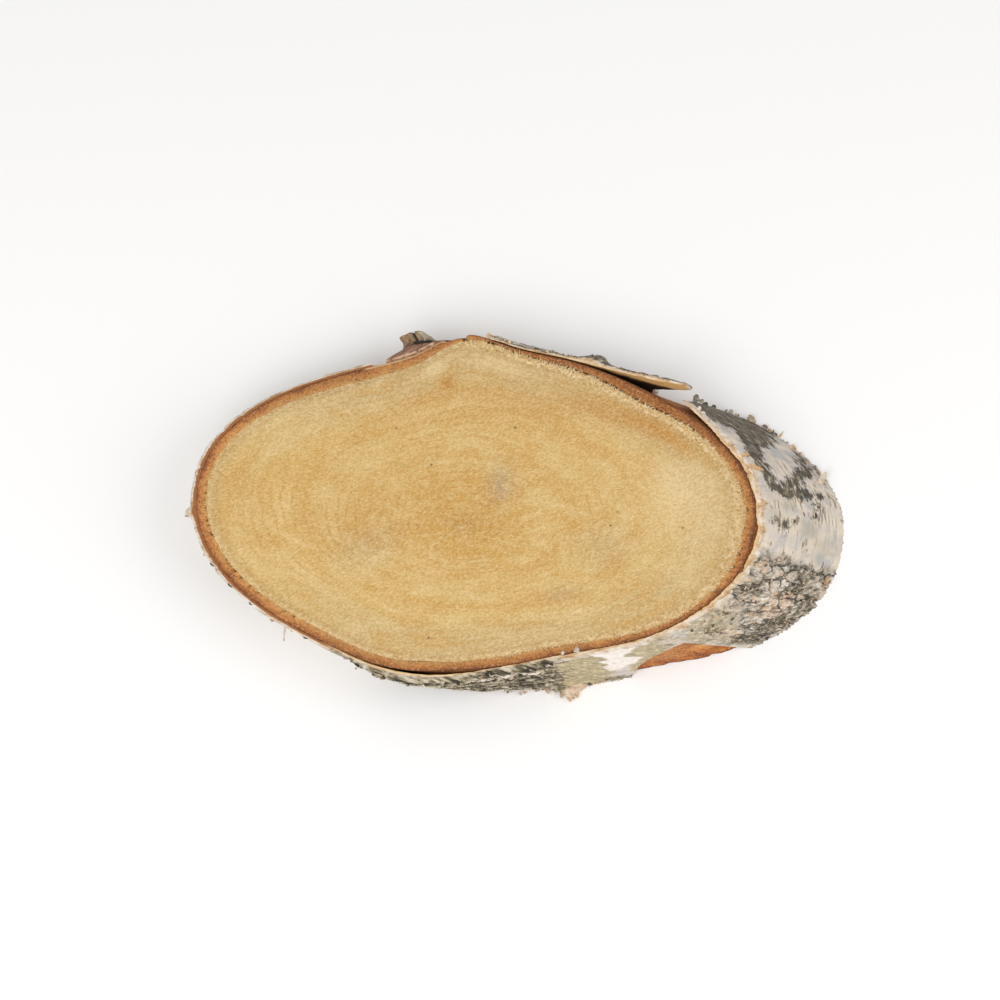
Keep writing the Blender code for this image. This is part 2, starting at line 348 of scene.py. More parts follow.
# Radius in mm of the circle on which a pattern that follows the rings is wound: small draws it out round them
RING_SPAN = 13.0


def grown(angle, growth):
    """Angle and radius of a point on a growth ring, from 0 at the pith to 1 at the inner bark."""
    reach = growth * (EVEN_RADIUS + (inner_bark_foot(angle) - GAP - EVEN_RADIUS) * growth * growth)
    turn = radians(angle)
    spot = Vector((cos(turn), sin(turn))) * reach + PITH * (1.0 - growth)
    return degrees(atan2(spot.y, spot.x)), spot.length


def spots_at(spots, angle, radius):
    """How strongly these spots of the face show here. They are ovals on the slanted cut."""
    turn = radians(angle)
    here = Vector((radius * cos(turn) * STRETCH, radius * sin(turn)))
    total = 0.0
    for strength, spot_angle, spot_radius, length, width, slope in spots:
        middle = Vector((cos(radians(spot_angle)) * STRETCH, sin(radians(spot_angle)))) * spot_radius
        off = Matrix.Rotation(-radians(slope), 2) @ (here - middle)
        total += strength * bell(hypot(off.x / length, off.y / width))
    return total


def torn_rim(angle):
    """How ragged the saw left the edge of the wood: much at the upper right, less elsewhere."""
    lightly = 0.3 * between(angle, 330.0, 20.0, 24.0) + 0.25 * between(angle, 272.0, 330.0, 16.0)
    return 0.25 + 0.75 * between(angle, 20.0, 92.0, 12.0) + lightly


def make_disc(bm, cells, underside, fuzz):
    """One sawn face of the wood, as a square grid that is bent into the trunk's outline."""
    growth_layer = bm.verts.layers.float["growth"]
    warm_layer = bm.verts.layers.float["warm"]
    grey_layer = bm.verts.layers.float["grey"]
    torn_layer = bm.verts.layers.float["torn"]
    golden_layer = bm.verts.layers.float["golden"]
    log_layer = bm.verts.layers.float_vector["log"]
    ringwise_layer = bm.verts.layers.float_vector["ringwise"]
    made = bmesh.ops.create_grid(bm, x_segments=cells, y_segments=cells, size=1.0)
    for vert in made["verts"]:
        across = vert.co.x * sqrt(1.0 - vert.co.y ** 2 / 2.0)
        onward = vert.co.y * sqrt(1.0 - vert.co.x ** 2 / 2.0)
        growth = min(1.0, hypot(across, onward))
        turned = degrees(atan2(onward, across))
        angle, radius = grown(turned, growth)
        spot = on_trunk(angle, radius, 0.0)
        vert[growth_layer] = growth
        vert[warm_layer] = spots_at(FACE_SPOTS, angle, radius)
        vert[grey_layer] = spots_at(GREY_SPOTS, angle, radius)
        if underside:
            vert.co = place(angle, radius - side_hollow(angle, 0.0) * growth, 0.0)
        else:
            sawn = Vector((spot.x * STRETCH, spot.y, 0.0))
            lying = Matrix.Rotation(-radians(FELT_LIE), 3, "Z") @ sawn
            lying.x /= FELT_DRAWN
            felt = 0.6 * noise.noise(lying / 0.8) + 0.4 * noise.noise(lying / 0.45) - 0.5
            waves = 0.35 * noise.noise(sawn / 9.0) - 0.35
            ragged = torn_rim(angle)
            frayed = ragged * ease((growth - FRAYED_FROM) / 0.04)
            sink = (felt * (1.0 + 1.3 * frayed) + waves) * fuzz / MM
            edge = max(0.0, (growth - EDGE_FROM) / (1.0 - EDGE_FROM))
            if edge > 0.0:
                jag = noise.noise(sawn / 0.8) + 0.6 * noise.noise(sawn / 0.35)
                radius += (0.5 * ragged * jag + GAP) * edge
                sink -= 0.2 * edge * (1.0 - 0.6 * ragged)
            vert.co = place(angle, radius, THICKNESS + min(0.0, sink))
        vert[log_layer] = on_trunk(angle, radius, vert.co.z / MM) * MM
        vert[torn_layer] = torn_rim(angle)
        vert[golden_layer] = 0.85 * between(angle, 150.0, 230.0, 50.0) * ease((growth - 0.55) / 0.2)
        turn = radians(turned)
        vert[ringwise_layer] = Vector((RING_SPAN * cos(turn), RING_SPAN * sin(turn), EVEN_RADIUS * growth)) * MM


def make_sawn_wood(sizes, material):
    """The wood's disc, with a felted sawn face, a plainer underside and one wall between them."""
    bm = bmesh.new()
    for name in ("growth", "warm", "grey", "torn", "golden"):
        bm.verts.layers.float.new(name)
    bm.verts.layers.float_vector.new("log")
    bm.verts.layers.float_vector.new("ringwise")
    make_disc(bm, WOOD_CELLS, False, sizes.saw_fuzz)
    make_disc(bm, UNDERSIDE_CELLS, True, sizes.saw_fuzz)
    bmesh.ops.bridge_loops(bm, edges=[edge for edge in bm.edges if edge.is_boundary])
    bmesh.ops.recalc_face_normals(bm, faces=bm.faces)
    keep_inside(bm, "wood")
    piece = link_piece(bm, "sawn_wood", material)
    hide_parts("wood")


def sawn_birch(colours):
    """Birch sapwood and heartwood, band-sawn across the trunk while damp, so the grain stands up like felt."""
    material, tree, shader = new_material("sawn_birch", 0.82)
    log = add(tree, "Attribute", out="Vector", attribute_name="log")
    growth = add(tree, "Attribute", out="Fac", attribute_name="growth")
    warm = add(tree, "Attribute", out="Fac", attribute_name="warm")
    grey = add(tree, "Attribute", out="Fac", attribute_name="grey")
    torn = add(tree, "Attribute", out="Fac", attribute_name="torn")
    face = add(tree, "TexCoord", out="Object")
    cloudy = add(tree, "TexNoise", {"Vector": log, "Scale": 1 / 0.014, "Detail": 4.0})
    drift = add(tree, "MapRange", {0: cloudy, 3: -0.06, 4: 0.06})
    level = add(tree, "Math", {0: growth, 1: drift}, operation="ADD")
    # Wide bands from pith to bark: honey-coloured in the middle years, paler towards the bark
    wood, honey, pale = tuple(colours.wood), tuple(colours.honey), tuple(colours.pale_wood)
    amber, cream = (*linear("#c48f48"), 1.0), (*linear("#f2d9aa"), 1.0)
    bands = add(tree, "ValToRGB", {0: level}, stops=(
        (0.0, linear("#c29855")), (0.06, linear("#cfa55d")), (0.2, linear("#d2a85f")), (0.28, honey), (0.34, wood),
        (0.4, honey), (0.47, wood), (0.58, wood), (0.64, honey), (0.72, wood), (0.86, pale), (1.0, pale)))
    # At the left the wood stays golden up to the bark
    golden = add(tree, "Attribute", out="Fac", attribute_name="golden")
    bands = add(tree, "Mix", {0: golden, 6: bands, 7: (*linear("#dab56f"), 1.0)}, out=2, data_type="RGBA")
    # Softly clouded: paler and more golden patches of some millimetres, drawn out along the rings
    ringwise = add(tree, "Attribute", out="Vector", attribute_name="ringwise")
    patch = add(tree, "TexNoise", {"Vector": ringwise, "Scale": 1 / 0.0034, "Detail": 5.0, "Roughness": 0.6})
    paler = add(tree, "MapRange", {0: patch, 1: 0.5, 2: 0.68, 3: 0.0, 4: 0.5})
    bands = add(tree, "Mix", {0: paler, 6: bands, 7: (*linear("#e6c98f"), 1.0)}, out=2, data_type="RGBA")
    deeper = add(tree, "MapRange", {0: patch, 1: 0.5, 2: 0.34, 3: 0.0, 4: 0.5})
    bands = add(tree, "Mix", {0: deeper, 6: bands, 7: (*linear("#cf9f50"), 1.0)}, out=2, data_type="RGBA")
    # Growth rings of about 2 mm, faint and broken, plainer near the pith
    turns = add(tree, "Math", {0: level, 1: 2.0 * pi * 24.0}, operation="MULTIPLY")
    wave = add(tree, "Math", {0: turns}, operation="SINE")
    thin = add(tree, "MapRange", {0: wave, 1: 0.3, 2: 1.0, 3: 0.0, 4: 0.75})
    broken = add(tree, "TexNoise", {"Vector": ringwise, "Scale": 1 / 0.008, "Detail": 2.0})
    shown = add(tree, "MapRange", {0: broken, 1: 0.4, 2: 0.62})
    core = add(tree, "MapRange", {0: growth, 1: 0.12, 2: 0.7, 3: 0.75, 4: 0.45})
    ringed = add(tree, "Math", {0: thin, 1: shown}, operation="MULTIPLY")
    ringed = add(tree, "Math", {0: ringed, 1: core}, operation="MULTIPLY")
    rings = add(tree, "Mix", {0: ringed, 6: bands, 7: amber}, out=2, data_type="RGBA")
    # Stains, pale patches and scuffed nicks
    stained = add(tree, "MapRange", {0: warm, 1: 0.0, 2: 1.6, 3: 0.0, 4: 0.95})
    stain = add(tree, "Mix", {0: stained, 6: rings, 7: amber}, out=2, data_type="RGBA")
    scuff = add(tree, "TexNoise", {"Vector": face, "Scale": 1 / 0.0009, "Detail": 3.0, "Roughness": 0.7})
    bleached = add(tree, "MapRange", {0: warm, 1: 0.0, 2: -1.0, 3: 0.0, 4: 1.0})
    patchy = add(tree, "Math", {0: bleached, 1: scuff}, operation="MULTIPLY")
    bleach = add(tree, "Mix", {0: patchy, 6: stain, 7: cream}, out=2, data_type="RGBA")
    mottled = add(tree, "TexNoise", {"Vector": face, "Scale": 1 / 0.002, "Detail": 4.0})
    smudged = add(tree, "Math", {0: grey, 1: mottled}, operation="MULTIPLY")
    smudge = add(tree, "Mix", {0: smudged, 6: bleach, 7: (*linear("#ab9d89"), 1.0)}, out=2, data_type="RGBA")
    # The last year's wood: a little greyer, with a cream fringe where the saw tore it
    last = add(tree, "MapRange", {0: growth, 1: 0.94, 2: 0.975, 3: 0.0, 4: 0.38})
    greyer = add(tree, "Mix", {0: last, 6: smudge, 7: (*linear("#b3925e"), 1.0)}, out=2, data_type="RGBA")
    outer = add(tree, "MapRange", {0: growth, 1: 0.972, 2: 0.99})
    fringed = add(tree, "Math", {0: outer, 1: torn}, operation="MULTIPLY")
    # Frayed band: cream tufts over brown hollows, about 1 mm across
    tuft = add(tree, "TexNoise", {"Vector": face, "Scale": 1 / 0.0011, "Detail": 3.0, "Roughness": 0.7})
    tufts = add(tree, "ValToRGB", {0: tuft}, stops=(
        (0.34, linear("#9a6a38")), (0.43, linear("#c39a5e")), (0.52, linear("#dcbb82")), (0.62, linear("#f3e2bd"))))
    wandering = add(tree, "MapRange", {0: scuff, 1: 0.3, 2: 0.7, 3: -0.02, 4: 0.02})
    strayed = add(tree, "Math", {0: growth, 1: wandering}, operation="ADD")
    near_bark = add(tree, "MapRange", {0: strayed, 1: 0.96, 2: 0.99, 3: 0.0, 4: 0.95})
    frayed = add(tree, "Math", {0: near_bark, 1: torn}, operation="MULTIPLY")
    tufted = add(tree, "Mix", {0: frayed, 6: greyer, 7: tufts}, out=2, data_type="RGBA")
    lit = add(tree, "MapRange", {0: tuft, 1: 0.4, 2: 0.56, 3: 0.0, 4: 0.8})
    fringed = add(tree, "Math", {0: fringed, 1: lit}, operation="MULTIPLY")
    fringe = add(tree, "Mix", {0: fringed, 6: tufted, 7: cream}, out=2, data_type="RGBA")
    # Felt: short fibres that lie over each other, about 0.4 mm wide, with painted shade, warm, in its hollows and a
    # painted highlight, creamy, on its tips
    lie = add(tree, "Mapping", {"Vector": face, "Rotation": (0.0, 0.0, radians(FELT_LIE)),
                                "Scale": (FELT_DRAWN, 1.0, 1.0)}, vector_type="TEXTURE")
    felt = add(tree, "TexNoise", {"Vector": lie, "Scale": 1 / 0.00042, "Detail": 3.0, "Roughness": 0.62})
    shade = add(tree, "ValToRGB", {0: felt}, stops=(
        (0.28, (0.76, 0.70, 0.56)), (0.5, (0.97, 0.96, 0.94)), (0.72, (1.0, 1.0, 1.0))))
    felted = add(tree, "Mix", {0: 1.0, 6: fringe, 7: shade}, out=2, data_type="RGBA", blend_type="MULTIPLY")
    tip_highlight = add(tree, "MapRange", {0: felt, 1: 0.5, 2: 0.72, 3: 0.0, 4: 0.45})
    tip_highlighted = add(tree, "Mix", {0: tip_highlight, 6: felted, 7: cream}, out=2, data_type="RGBA")
    fleck = add(tree, "TexNoise", {"Vector": lie, "Scale": 1 / 0.0009, "Detail": 3.0, "Roughness": 0.7})
    flecked = add(tree, "MapRange", {0: fleck, 1: 0.62, 2: 0.78, 3: 0.0, 4: 0.5})
    flecks = add(tree, "Mix", {0: flecked, 6: tip_highlighted, 7: cream}, out=2, data_type="RGBA")
    # Dark specks of 0.4 mm, a few to the hand's width
    cell = add(tree, "TexVoronoi", {"Vector": face, "Scale": 1 / 0.012, "Randomness": 1.0})
    speck = add(tree, "MapRange", {0: cell, 1: 0.016, 2: 0.04, 3: 0.8, 4: 0.0})
    specks = add(tree, "Mix", {0: speck, 6: flecks, 7: (*linear("#6b5a44"), 1.0)}, out=2, data_type="RGBA")
    tree.links.new(specks, shader.inputs["Base Color"])
    bump = add(tree, "Bump", {"Height": felt, "Strength": 0.6, "Distance": 0.0003})
    tree.links.new(bump, shader.inputs["Normal"])
    return material


# Inner bark

RING_COLUMNS = 860
RING_CELLS = (3, 12, 18, 3)
HUMP_CRACK = 93.5


def ring_pit(angle):
    """How open the seam between the wood and the inner bark is here, from 0 to 1."""
    spot = on_trunk(angle, RIM_RADIUS, 0.0)
    open_here = noise.noise(spot / 0.9) + 0.5 * noise.noise(spot / 0.4)
    lined = 1.1 * between(angle, 30.0, 92.0, 8.0) + 0.5 * between(angle, 176.0, 232.0, 10.0)
    lined += 0.45 * between(angle, 300.0, 15.0, 20.0) + 0.1
    return ease((open_here - 0.5 + 0.55 * lined) / 0.3) * min(1.0, lined * 1.3)


def ring_slim(angle, height):
    """How far the outside of the ring lies within the solid's, in mm: at the right, near the sawn face."""
    return 0.6 * between(angle, 342.0, 29.0, 12.0) * ease((height - 8.0) / 10.0)


def crevice(angle):
    """Where the outer bark has parted a little from the ring at the right, from 0 to 1."""
    return between(angle, 337.0, 355.0, 7.0)


def seam(angle):
    """How much of the gap between the ring and the outer bark is grown shut, in mm: all of it at the left."""
    grown_shut = 0.26 - 0.12 * between(angle, 274.0, 15.0, 10.0) + 0.1 * between(angle, 99.0, 245.0, 4.0)
    grown_shut *= 1.0 - crevice(angle)
    return grown_shut * (1.0 - between(angle, 249.0, 274.0, 8.0)) * (1.0 - between(angle, 14.0, 99.0, 8.0))


def ring_point(angle, share):
    """Radius, height and darkness (painted shade in the open seam and the hump's crack) of a point of the inner bark's
    ring, share of the way round its section.
    """
    side, part = side_and_share(share, RING_CELLS)
    bare = between(angle, 84.0, 99.0, 4.0)
    crack = bell(away(angle, HUMP_CRACK) / 0.35)
    lost = between(angle, HUMP_CRACK, 98.0, 0.6)
    if side == 0:
        height, across = THICKNESS * part, 0.0
    elif side == 1:
        height, across = THICKNESS, part
    elif side == 2:
        height, across = THICKNESS * (1.0 - part), 1.0
    else:
        height, across = 0.0, 1.0 - part
    top = ease((height - THICKNESS + 3.0) / 3.0)
    foot, outside = inner_bark_foot(angle, height) - 0.2, rim(angle, height) - ring_slim(angle, height)
    dark = 0.0
    spot = on_trunk(angle, foot + (outside - foot) * across, height)
    sawn = Vector((spot.x * STRETCH, spot.y, spot.z))
    grain = 0.6 * noise.noise(sawn / 0.7) + 0.4 * noise.noise(sawn / 0.35)
    pit = ring_pit(angle) * top * ease(1.0 - across * (outside - foot) / 1.1)
    foot += 0.7 * pit
    outside -= (0.9 * lost + 1.7 * crack) * top * bare
    radius = foot + (outside - foot) * across
    if side == 1:
        rounded = 0.3 * ease((across - 0.85) / 0.15) + 0.1 * ease((0.12 - across) / 0.12)
        height -= 0.26 + 0.18 * grain + rounded + 1.6 * pit
        # Painted shade: near black in the open seam and along the crack on the hump
        dark = max(pit, crack * bare * ease(across * 2.0))
    elif side == 2:
        streaks = noise.noise(on_trunk(angle, outside, height, 1.1, 0.5))
        radius -= 0.12 + 0.12 * grain + 0.1 * streaks
        chipped = between(angle, CHIP_LEFT, CHIP_RIGHT, 3.0)
        height += chipped * max(0.0, 1.6 * noise.noise(spot / 1.9)) * ease((2.0 - height) / 2.0)
    elif side == 0:
        # Painted shade where the seam to the wood stands open
        dark = pit
    else:
        height += between(angle, CHIP_LEFT, CHIP_RIGHT, 3.0) * max(0.0, 1.6 * noise.noise(spot / 1.9)) * across
    return radius, height, dark, across


def make_inner_bark(material):
    """The ring of inner bark: a grid that is closed both round the trunk and round its own section."""
    bm = bmesh.new()
    log_layer = bm.verts.layers.float_vector.new("log")
    grain_layer = bm.verts.layers.float_vector.new("grain")
    painted_shade_layer = bm.verts.layers.float.new("dark")
    side_layer = bm.verts.layers.float.new("side")
    across_layer = bm.verts.layers.float.new("across")
    pale_layer = bm.verts.layers.float.new("pale")
    tone_layer = bm.verts.layers.float.new("tone")
    bared_layer = bm.verts.layers.float.new("bared")
    bmesh.ops.create_grid(bm, x_segments=RING_COLUMNS, y_segments=sum(RING_CELLS), size=0.5)
    for vert in bm.verts:
        angle = 360.0 * ((vert.co.x + 0.5) % 1.0)
        share = (vert.co.y + 0.5) % 1.0
        radius, height, dark, across = ring_point(angle, share)
        vert.co = place(angle, radius, height)
        vert[log_layer] = on_trunk(angle, radius, height) * MM
        vert[grain_layer] = on_trunk(angle, RIM_RADIUS, radius + height) * MM
        vert[painted_shade_layer] = dark
        vert[side_layer] = 1.0 if side_and_share(share, RING_CELLS)[0] == 2 else 0.0
        vert[across_layer] = across
        drawn = angle - 1.1 * height + 2.0 * noise.noise(on_trunk(angle, RIM_RADIUS, height, 2.0))
        vert[bared_layer] = 0.8 * between(drawn, 285.0, 298.0, 3.0) * ease((height - 2.0) / 2.0)
        vert[pale_layer] = between(angle, 97.0, 118.0, 2.0) * ease((across - 0.75) / 0.1)
        vert[tone_layer] = (0.96 + 0.16 * between(angle, 150.0, 235.0, 20.0) + 0.09 * between(angle, 322.0, 350.0, 10.0)
                            - 0.17 * between(angle, 22.0, 84.0, 14.0))
    bmesh.ops.remove_doubles(bm, verts=bm.verts, dist=0.00001)
    bmesh.ops.recalc_face_normals(bm, faces=bm.faces)
    keep_inside(bm, "inner_bark")
    piece = link_piece(bm, "inner_bark_ring", material)
    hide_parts("inner_bark")


def birch_phloem(colours):
    """Live inner bark of birch, sawn across: rust-brown and granular, with darker stone cells and fine streaks."""
    material, tree, shader = new_material("birch_phloem", 0.88)
    log = add(tree, "Attribute", out="Vector", attribute_name="log")
    grain = add(tree, "Attribute", out="Vector", attribute_name="grain")
    dark = add(tree, "Attribute", out="Fac", attribute_name="dark")
    side = add(tree, "Attribute", out="Fac", attribute_name="side")
    across = add(tree, "Attribute", out="Fac", attribute_name="across")
    pale = add(tree, "Attribute", out="Fac", attribute_name="pale")
    face = add(tree, "TexCoord", out="Object")
    cloudy = add(tree, "TexNoise", {"Vector": log, "Scale": 1 / 0.004, "Detail": 4.0})
    drift = add(tree, "MapRange", {0: cloudy, 3: -0.45, 4: 0.45})
    level = add(tree, "Math", {0: across, 1: drift}, operation="ADD")
    rust = tuple(colours.inner_bark)
    base = add(tree, "ValToRGB", {0: level}, stops=(
        (0.0, linear("#c39257")), (0.25, linear("#c28c50")), (0.5, rust), (0.78, linear("#a06437")),
        (1.0, linear("#784524"))))
    torn = add(tree, "ValToRGB", {0: cloudy}, stops=(
        (0.34, linear("#8a4718")), (0.48, linear("#b76a2a")), (0.62, linear("#dc9a55"))))
    bared = add(tree, "Attribute", out="Fac", attribute_name="bared")
    smooth = add(tree, "Mix", {0: bared, 6: torn, 7: (*linear("#c18350"), 1.0)}, out=2, data_type="RGBA")
    faces = add(tree, "Mix", {0: side, 6: base, 7: smooth}, out=2, data_type="RGBA")
    long_grain = add(tree, "Mapping", {"Vector": grain, "Scale": (0.2, 0.2, 1.0)})
    streak = add(tree, "TexNoise", {"Vector": long_grain, "Scale": 1 / 0.00045, "Detail": 3.0, "Roughness": 0.6})
    streaked = add(tree, "MapRange", {0: streak, 1: 0.3, 2: 0.7, 3: 0.8, 4: 1.16})
    # Darker and redder at the upper right, lighter at the left
    tone = add(tree, "Attribute", out="Fac", attribute_name="tone")
    toned = add(tree, "Math", {0: streaked, 1: tone}, operation="MULTIPLY")
    redder = add(tree, "MapRange", {0: tone, 1: 0.96, 2: 0.8, 3: 0.0, 4: 0.5})
    reddened = add(tree, "Mix", {0: redder, 6: faces, 7: (*linear("#ad6630"), 1.0)}, out=2, data_type="RGBA")
    lined = add(tree, "Mix", {0: 1.0, 6: reddened, 7: toned}, out=2, data_type="RGBA", blend_type="MULTIPLY")
    grit = add(tree, "TexNoise", {"Vector": face, "Scale": 1 / 0.0005, "Detail": 4.0, "Roughness": 0.7})
    gritty = add(tree, "MapRange", {0: grit, 1: 0.53, 2: 0.65, 3: 0.0, 4: 0.75})
    speckled = add(tree, "Mix", {0: gritty, 6: lined, 7: (*linear("#64391b"), 1.0)}, out=2, data_type="RGBA")
    crumb = add(tree, "MapRange", {0: grit, 1: 0.47, 2: 0.33, 3: 0.0, 4: 0.75})
    crumbs = add(tree, "Mix", {0: crumb, 6: speckled, 7: (*linear("#d9a46b"), 1.0)}, out=2, data_type="RGBA")
    # A thin dark line along its outer edge: painted shade where the ring rounds down into the seam with the outer bark
    wavering = add(tree, "MapRange", {0: grit, 1: 0.3, 2: 0.7, 3: -0.05, 4: 0.05})
    outermost = add(tree, "Math", {0: across, 1: wavering}, operation="ADD")
    painted_seam_shade = add(tree, "MapRange", {0: outermost, 1: 0.84, 2: 1.0, 3: 0.0, 4: 0.6})
    painted_seam_shade = add(tree, "Math", {0: painted_seam_shade, 1: side}, operation="SUBTRACT")
    painted_seam_shade = add(tree, "Math", {0: painted_seam_shade, 1: 0.0}, operation="MAXIMUM")
    edged = add(tree, "Mix", {0: painted_seam_shade, 6: crumbs, 7: (*linear("#54301a"), 1.0)}, out=2, data_type="RGBA")
    skinned = add(tree, "Mix", {0: pale, 6: edged, 7: (*linear("#d6b184"), 1.0)}, out=2, data_type="RGBA")
    # Painted shade: near black in the open seam to the wood and in the hump's crack
    deep = add(tree, "Mix", {0: dark, 6: skinned, 7: (*linear("#1d120a"), 1.0)}, out=2, data_type="RGBA")
    tree.links.new(deep, shader.inputs["Base Color"])
    bump = add(tree, "Bump", {"Height": grit, "Strength": 0.6, "Distance": 0.0003})
    tree.links.new(bump, shader.inputs["Normal"])
    return material


# Outer bark

SHEET_COLUMNS = 1120
SHEET_CELLS = (54, 10, 8, 3)
# Lichen on the bark, as strokes over points of angle, height and half width in mm
LICHEN_STROKES = (
    ((50.0, 7.0, 7.0), (44.0, 6.6, 6.8), (38.0, 6.6, 6.0), (33.0, 8.2, 4.6), (28.0, 10.6, 2.8)),
    ((50.0, 10.6, 6.2), (44.0, 12.0, 5.8), (39.5, 13.2, 5.0), (36.0, 14.0, 3.5)),
    ((38.6, 5.0, 2.1), (32.1, 10.6, 2.1), (24.4, 13.6, 2.1), (17.6, 16.1, 2.0), (13.9, 15.8, 1.8), (8.9, 14.9, 1.6),
     (7.5, 12.8, 1.9), (7.9, 9.8, 1.9), (9.0, 6.6, 1.3), (9.2, 4.1, 1.1)),
    ((26.2, 1.7, 0.8), (22.2, 3.1, 1.6), (18.8, 3.4, 1.6), (16.1, 6.1, 1.6), (12.4, 9.5, 1.6), (9.1, 12.4, 1.6)),
    ((356.9, 16.0, 1.0), (355.8, 14.1, 1.2), (357.4, 12.3, 0.9)),
    ((5.6, 5.9, 0.6), (0.8, 7.0, 0.6)),
    ((150.0, 4.0, 1.2), (141.0, 9.0, 1.6), (136.0, 13.0, 0.9)),
    ((196.0, 12.0, 1.3), (207.0, 6.0, 1.7), (214.0, 4.0, 1.0)),
)
LICHEN_REACH = 3.0
# Where the noise that bends the cracks is read for X, Y and Z: noise_vector would read it elsewhere in each run
WARP_SHIFTS = (Vector((0.0, 0.0, 0.0)), Vector((17.3, 5.7, 2.9)), Vector((-21.6, 9.2, -7.4)))
# How far the patches of the bark lean round the trunk, in degrees for each mm of height
PATCH_SLANT = 0.9
# Patches on the bark: how strong, angle, height, spread in degrees, spread in height
MOSSY_PATCHES = (
    (1.0, 336.4, 6.4, 1.8, 1.5),
    (0.4, 331.0, 2.8, 2.2, 1.4),
    (1.0, 323.2, 3.4, 4.4, 2.8),
    (0.9, 315.4, 4.2, 3.6, 2.6),
    (0.6, 321.4, 7.4, 1.8, 1.4),
    (0.8, 316.5, 11.5, 3.0, 2.4),
    (0.6, 324.0, 15.4, 2.4, 1.6),
    (0.5, 343.8, 9.0, 1.2, 4.0),
    (0.8, 284.6, 1.4, 3.0, 1.6),
    (1.0, 66.5, 16.0, 2.6, 3.0),
)
PEACH_PATCHES = (
    (1.3, 274.1, 0.2, 2.4, 2.2),
    (0.8, 269.6, 0.0, 2.4, 1.2),
    (0.8, 329.6, 6.6, 3.2, 2.6),
    (0.6, 331.2, 13.6, 2.6, 2.0),
    (0.8, 317.4, 8.6, 1.8, 1.8),
    (0.5, 340.4, 16.6, 2.6, 1.4),
    (0.7, 314.0, 8.2, 1.2, 1.4),
    (0.6, 324.6, 9.4, 1.8, 1.4),
)
GREENISH_PATCHES = (
    (0.5, 351.5, 5.0, 3.0, 4.0),
    (0.6, 356.4, 8.6, 2.2, 2.4),
    (0.6, 3.2, 13.2, 1.8, 2.0),
    (0.5, 357.8, 15.6, 2.0, 2.2),
)


def stroke_depth(first, second, angle, height):
    """How far inside one stroke this point of the bark lies, in mm, and below 0 outside it."""
    run = Vector((radians(away(second[0], first[0])) * RIM_RADIUS, second[1] - first[1]))
    here = Vector((radians(away(angle, first[0])) * RIM_RADIUS, height - first[1]))
    share = min(1.0, max(0.0, here.dot(run) / run.length_squared))
    return first[2] + (second[2] - first[2]) * share - (here - run * share).length


def growths(angle, height):
    """Depth inside the nearest lichen stroke, at most this reach either way."""
    depth = -LICHEN_REACH
    for stroke in LICHEN_STROKES:
        if abs(away(angle, stroke[0][0])) < 50.0:
            for first, second in zip(stroke, stroke[1:]):
                depth = max(depth, stroke_depth(first, second, angle, height))
    return min(LICHEN_REACH, depth)


def patched(patches, angle, height):
    """How strongly these patches of the bark show here, from 0 to 1."""
    strengths = [strength * bell(hypot(away(angle, middle) / spread, (height - level) / rise))
                 for strength, middle, level, spread, rise in patches]
    return min(1.0, sum(strengths))


def zones(angle, height):
    """How much of each kind of bark is here: furrowed and layered plates, olive bloom, bare white paper, dark moss,
    peach scars and greenish powder."""
    ragged = 3.0 * noise.noise(on_trunk(angle, RIM_RADIUS, height, 3.0))
    rough = angle + ragged
    drawn = rough - PATCH_SLANT * (height - THICKNESS / 2.0)
    smooth = between(drawn, 302.0, 321.0, 3.0) * ease((height - 6.0) / 3.0)
    furrowed = between(rough, 313.0, 345.0, 4.0) * (1.0 - 0.8 * smooth)
    furrowed = max(furrowed, 0.35 * between(drawn, 301.0, 316.0, 3.0))
    furrowed = max(furrowed, 0.8 * between(angle + 0.4 * ragged, 46.0, 92.0, 2.0))
    layered = between(rough, 243.0, 300.0, 6.0) * between(drawn, 200.0, 279.0, 3.0)
    olive = max(between(drawn, 278.0, 290.0, 3.0), 0.9 * between(drawn, 295.0, 302.5, 2.0))
    olive = max(olive, 0.8 * between(drawn, 308.0, 320.0, 3.0) * ease((height - 7.0 - ragged) / 2.0))
    white = between(drawn, 289.5, 295.5, 1.5) * ease((height - 5.5 - 0.5 * ragged) / 2.0)
    mossy = max(patched(MOSSY_PATCHES, rough, height), 0.6 * between(drawn, 275.0, 281.0, 3.0))
    peach = patched(PEACH_PATCHES, rough, height)
    greenish = patched(GREENISH_PATCHES, rough, height)
    return furrowed, layered, olive * (1.0 - white), white, mossy, peach, greenish


def plate_relief(angle, height):
    """Relief of the furrowed plates: curled scales of about 3 mm with cracks between them, from -1 to 1."""
    spot = on_trunk(angle, RIM_RADIUS, height)
    warp = Vector(noise.noise(spot / 2.2 + shift) for shift in WARP_SHIFTS)
    distances, points = noise.voronoi((spot + warp * 2.0) / 3.0)
    crack = 1.0 - ease((distances[1] - distances[0]) / 0.16)
    tilt = noise.noise(points[0] * 3.7)
    swelling = noise.noise(spot / 4.5)
    rough = noise.fractal(spot / 0.9, 0.7, 2.1, 3)
    return 0.4 * tilt + 0.5 * swelling + 0.3 * rough - 0.5 * crack


def layer_relief(angle, height):
    """Relief of the layered plates: long shingles round the trunk, each over the next, from -1 to 1."""
    drift = noise.noise(on_trunk(angle, RIM_RADIUS, height, 2.2, 2.4))
    steps = height / 2.4 + 1.9 * drift
    rise = steps - floor(steps)
    rough = noise.fractal(on_trunk(angle, RIM_RADIUS, height, 0.8, 1.5), 0.7, 2.1, 3)
    broken = noise.noise(on_trunk(angle, RIM_RADIUS, height, 1.6))
    return 1.5 * rise - 0.75 + 0.4 * rough - 0.6 * ease((broken - 0.15) / 0.2)


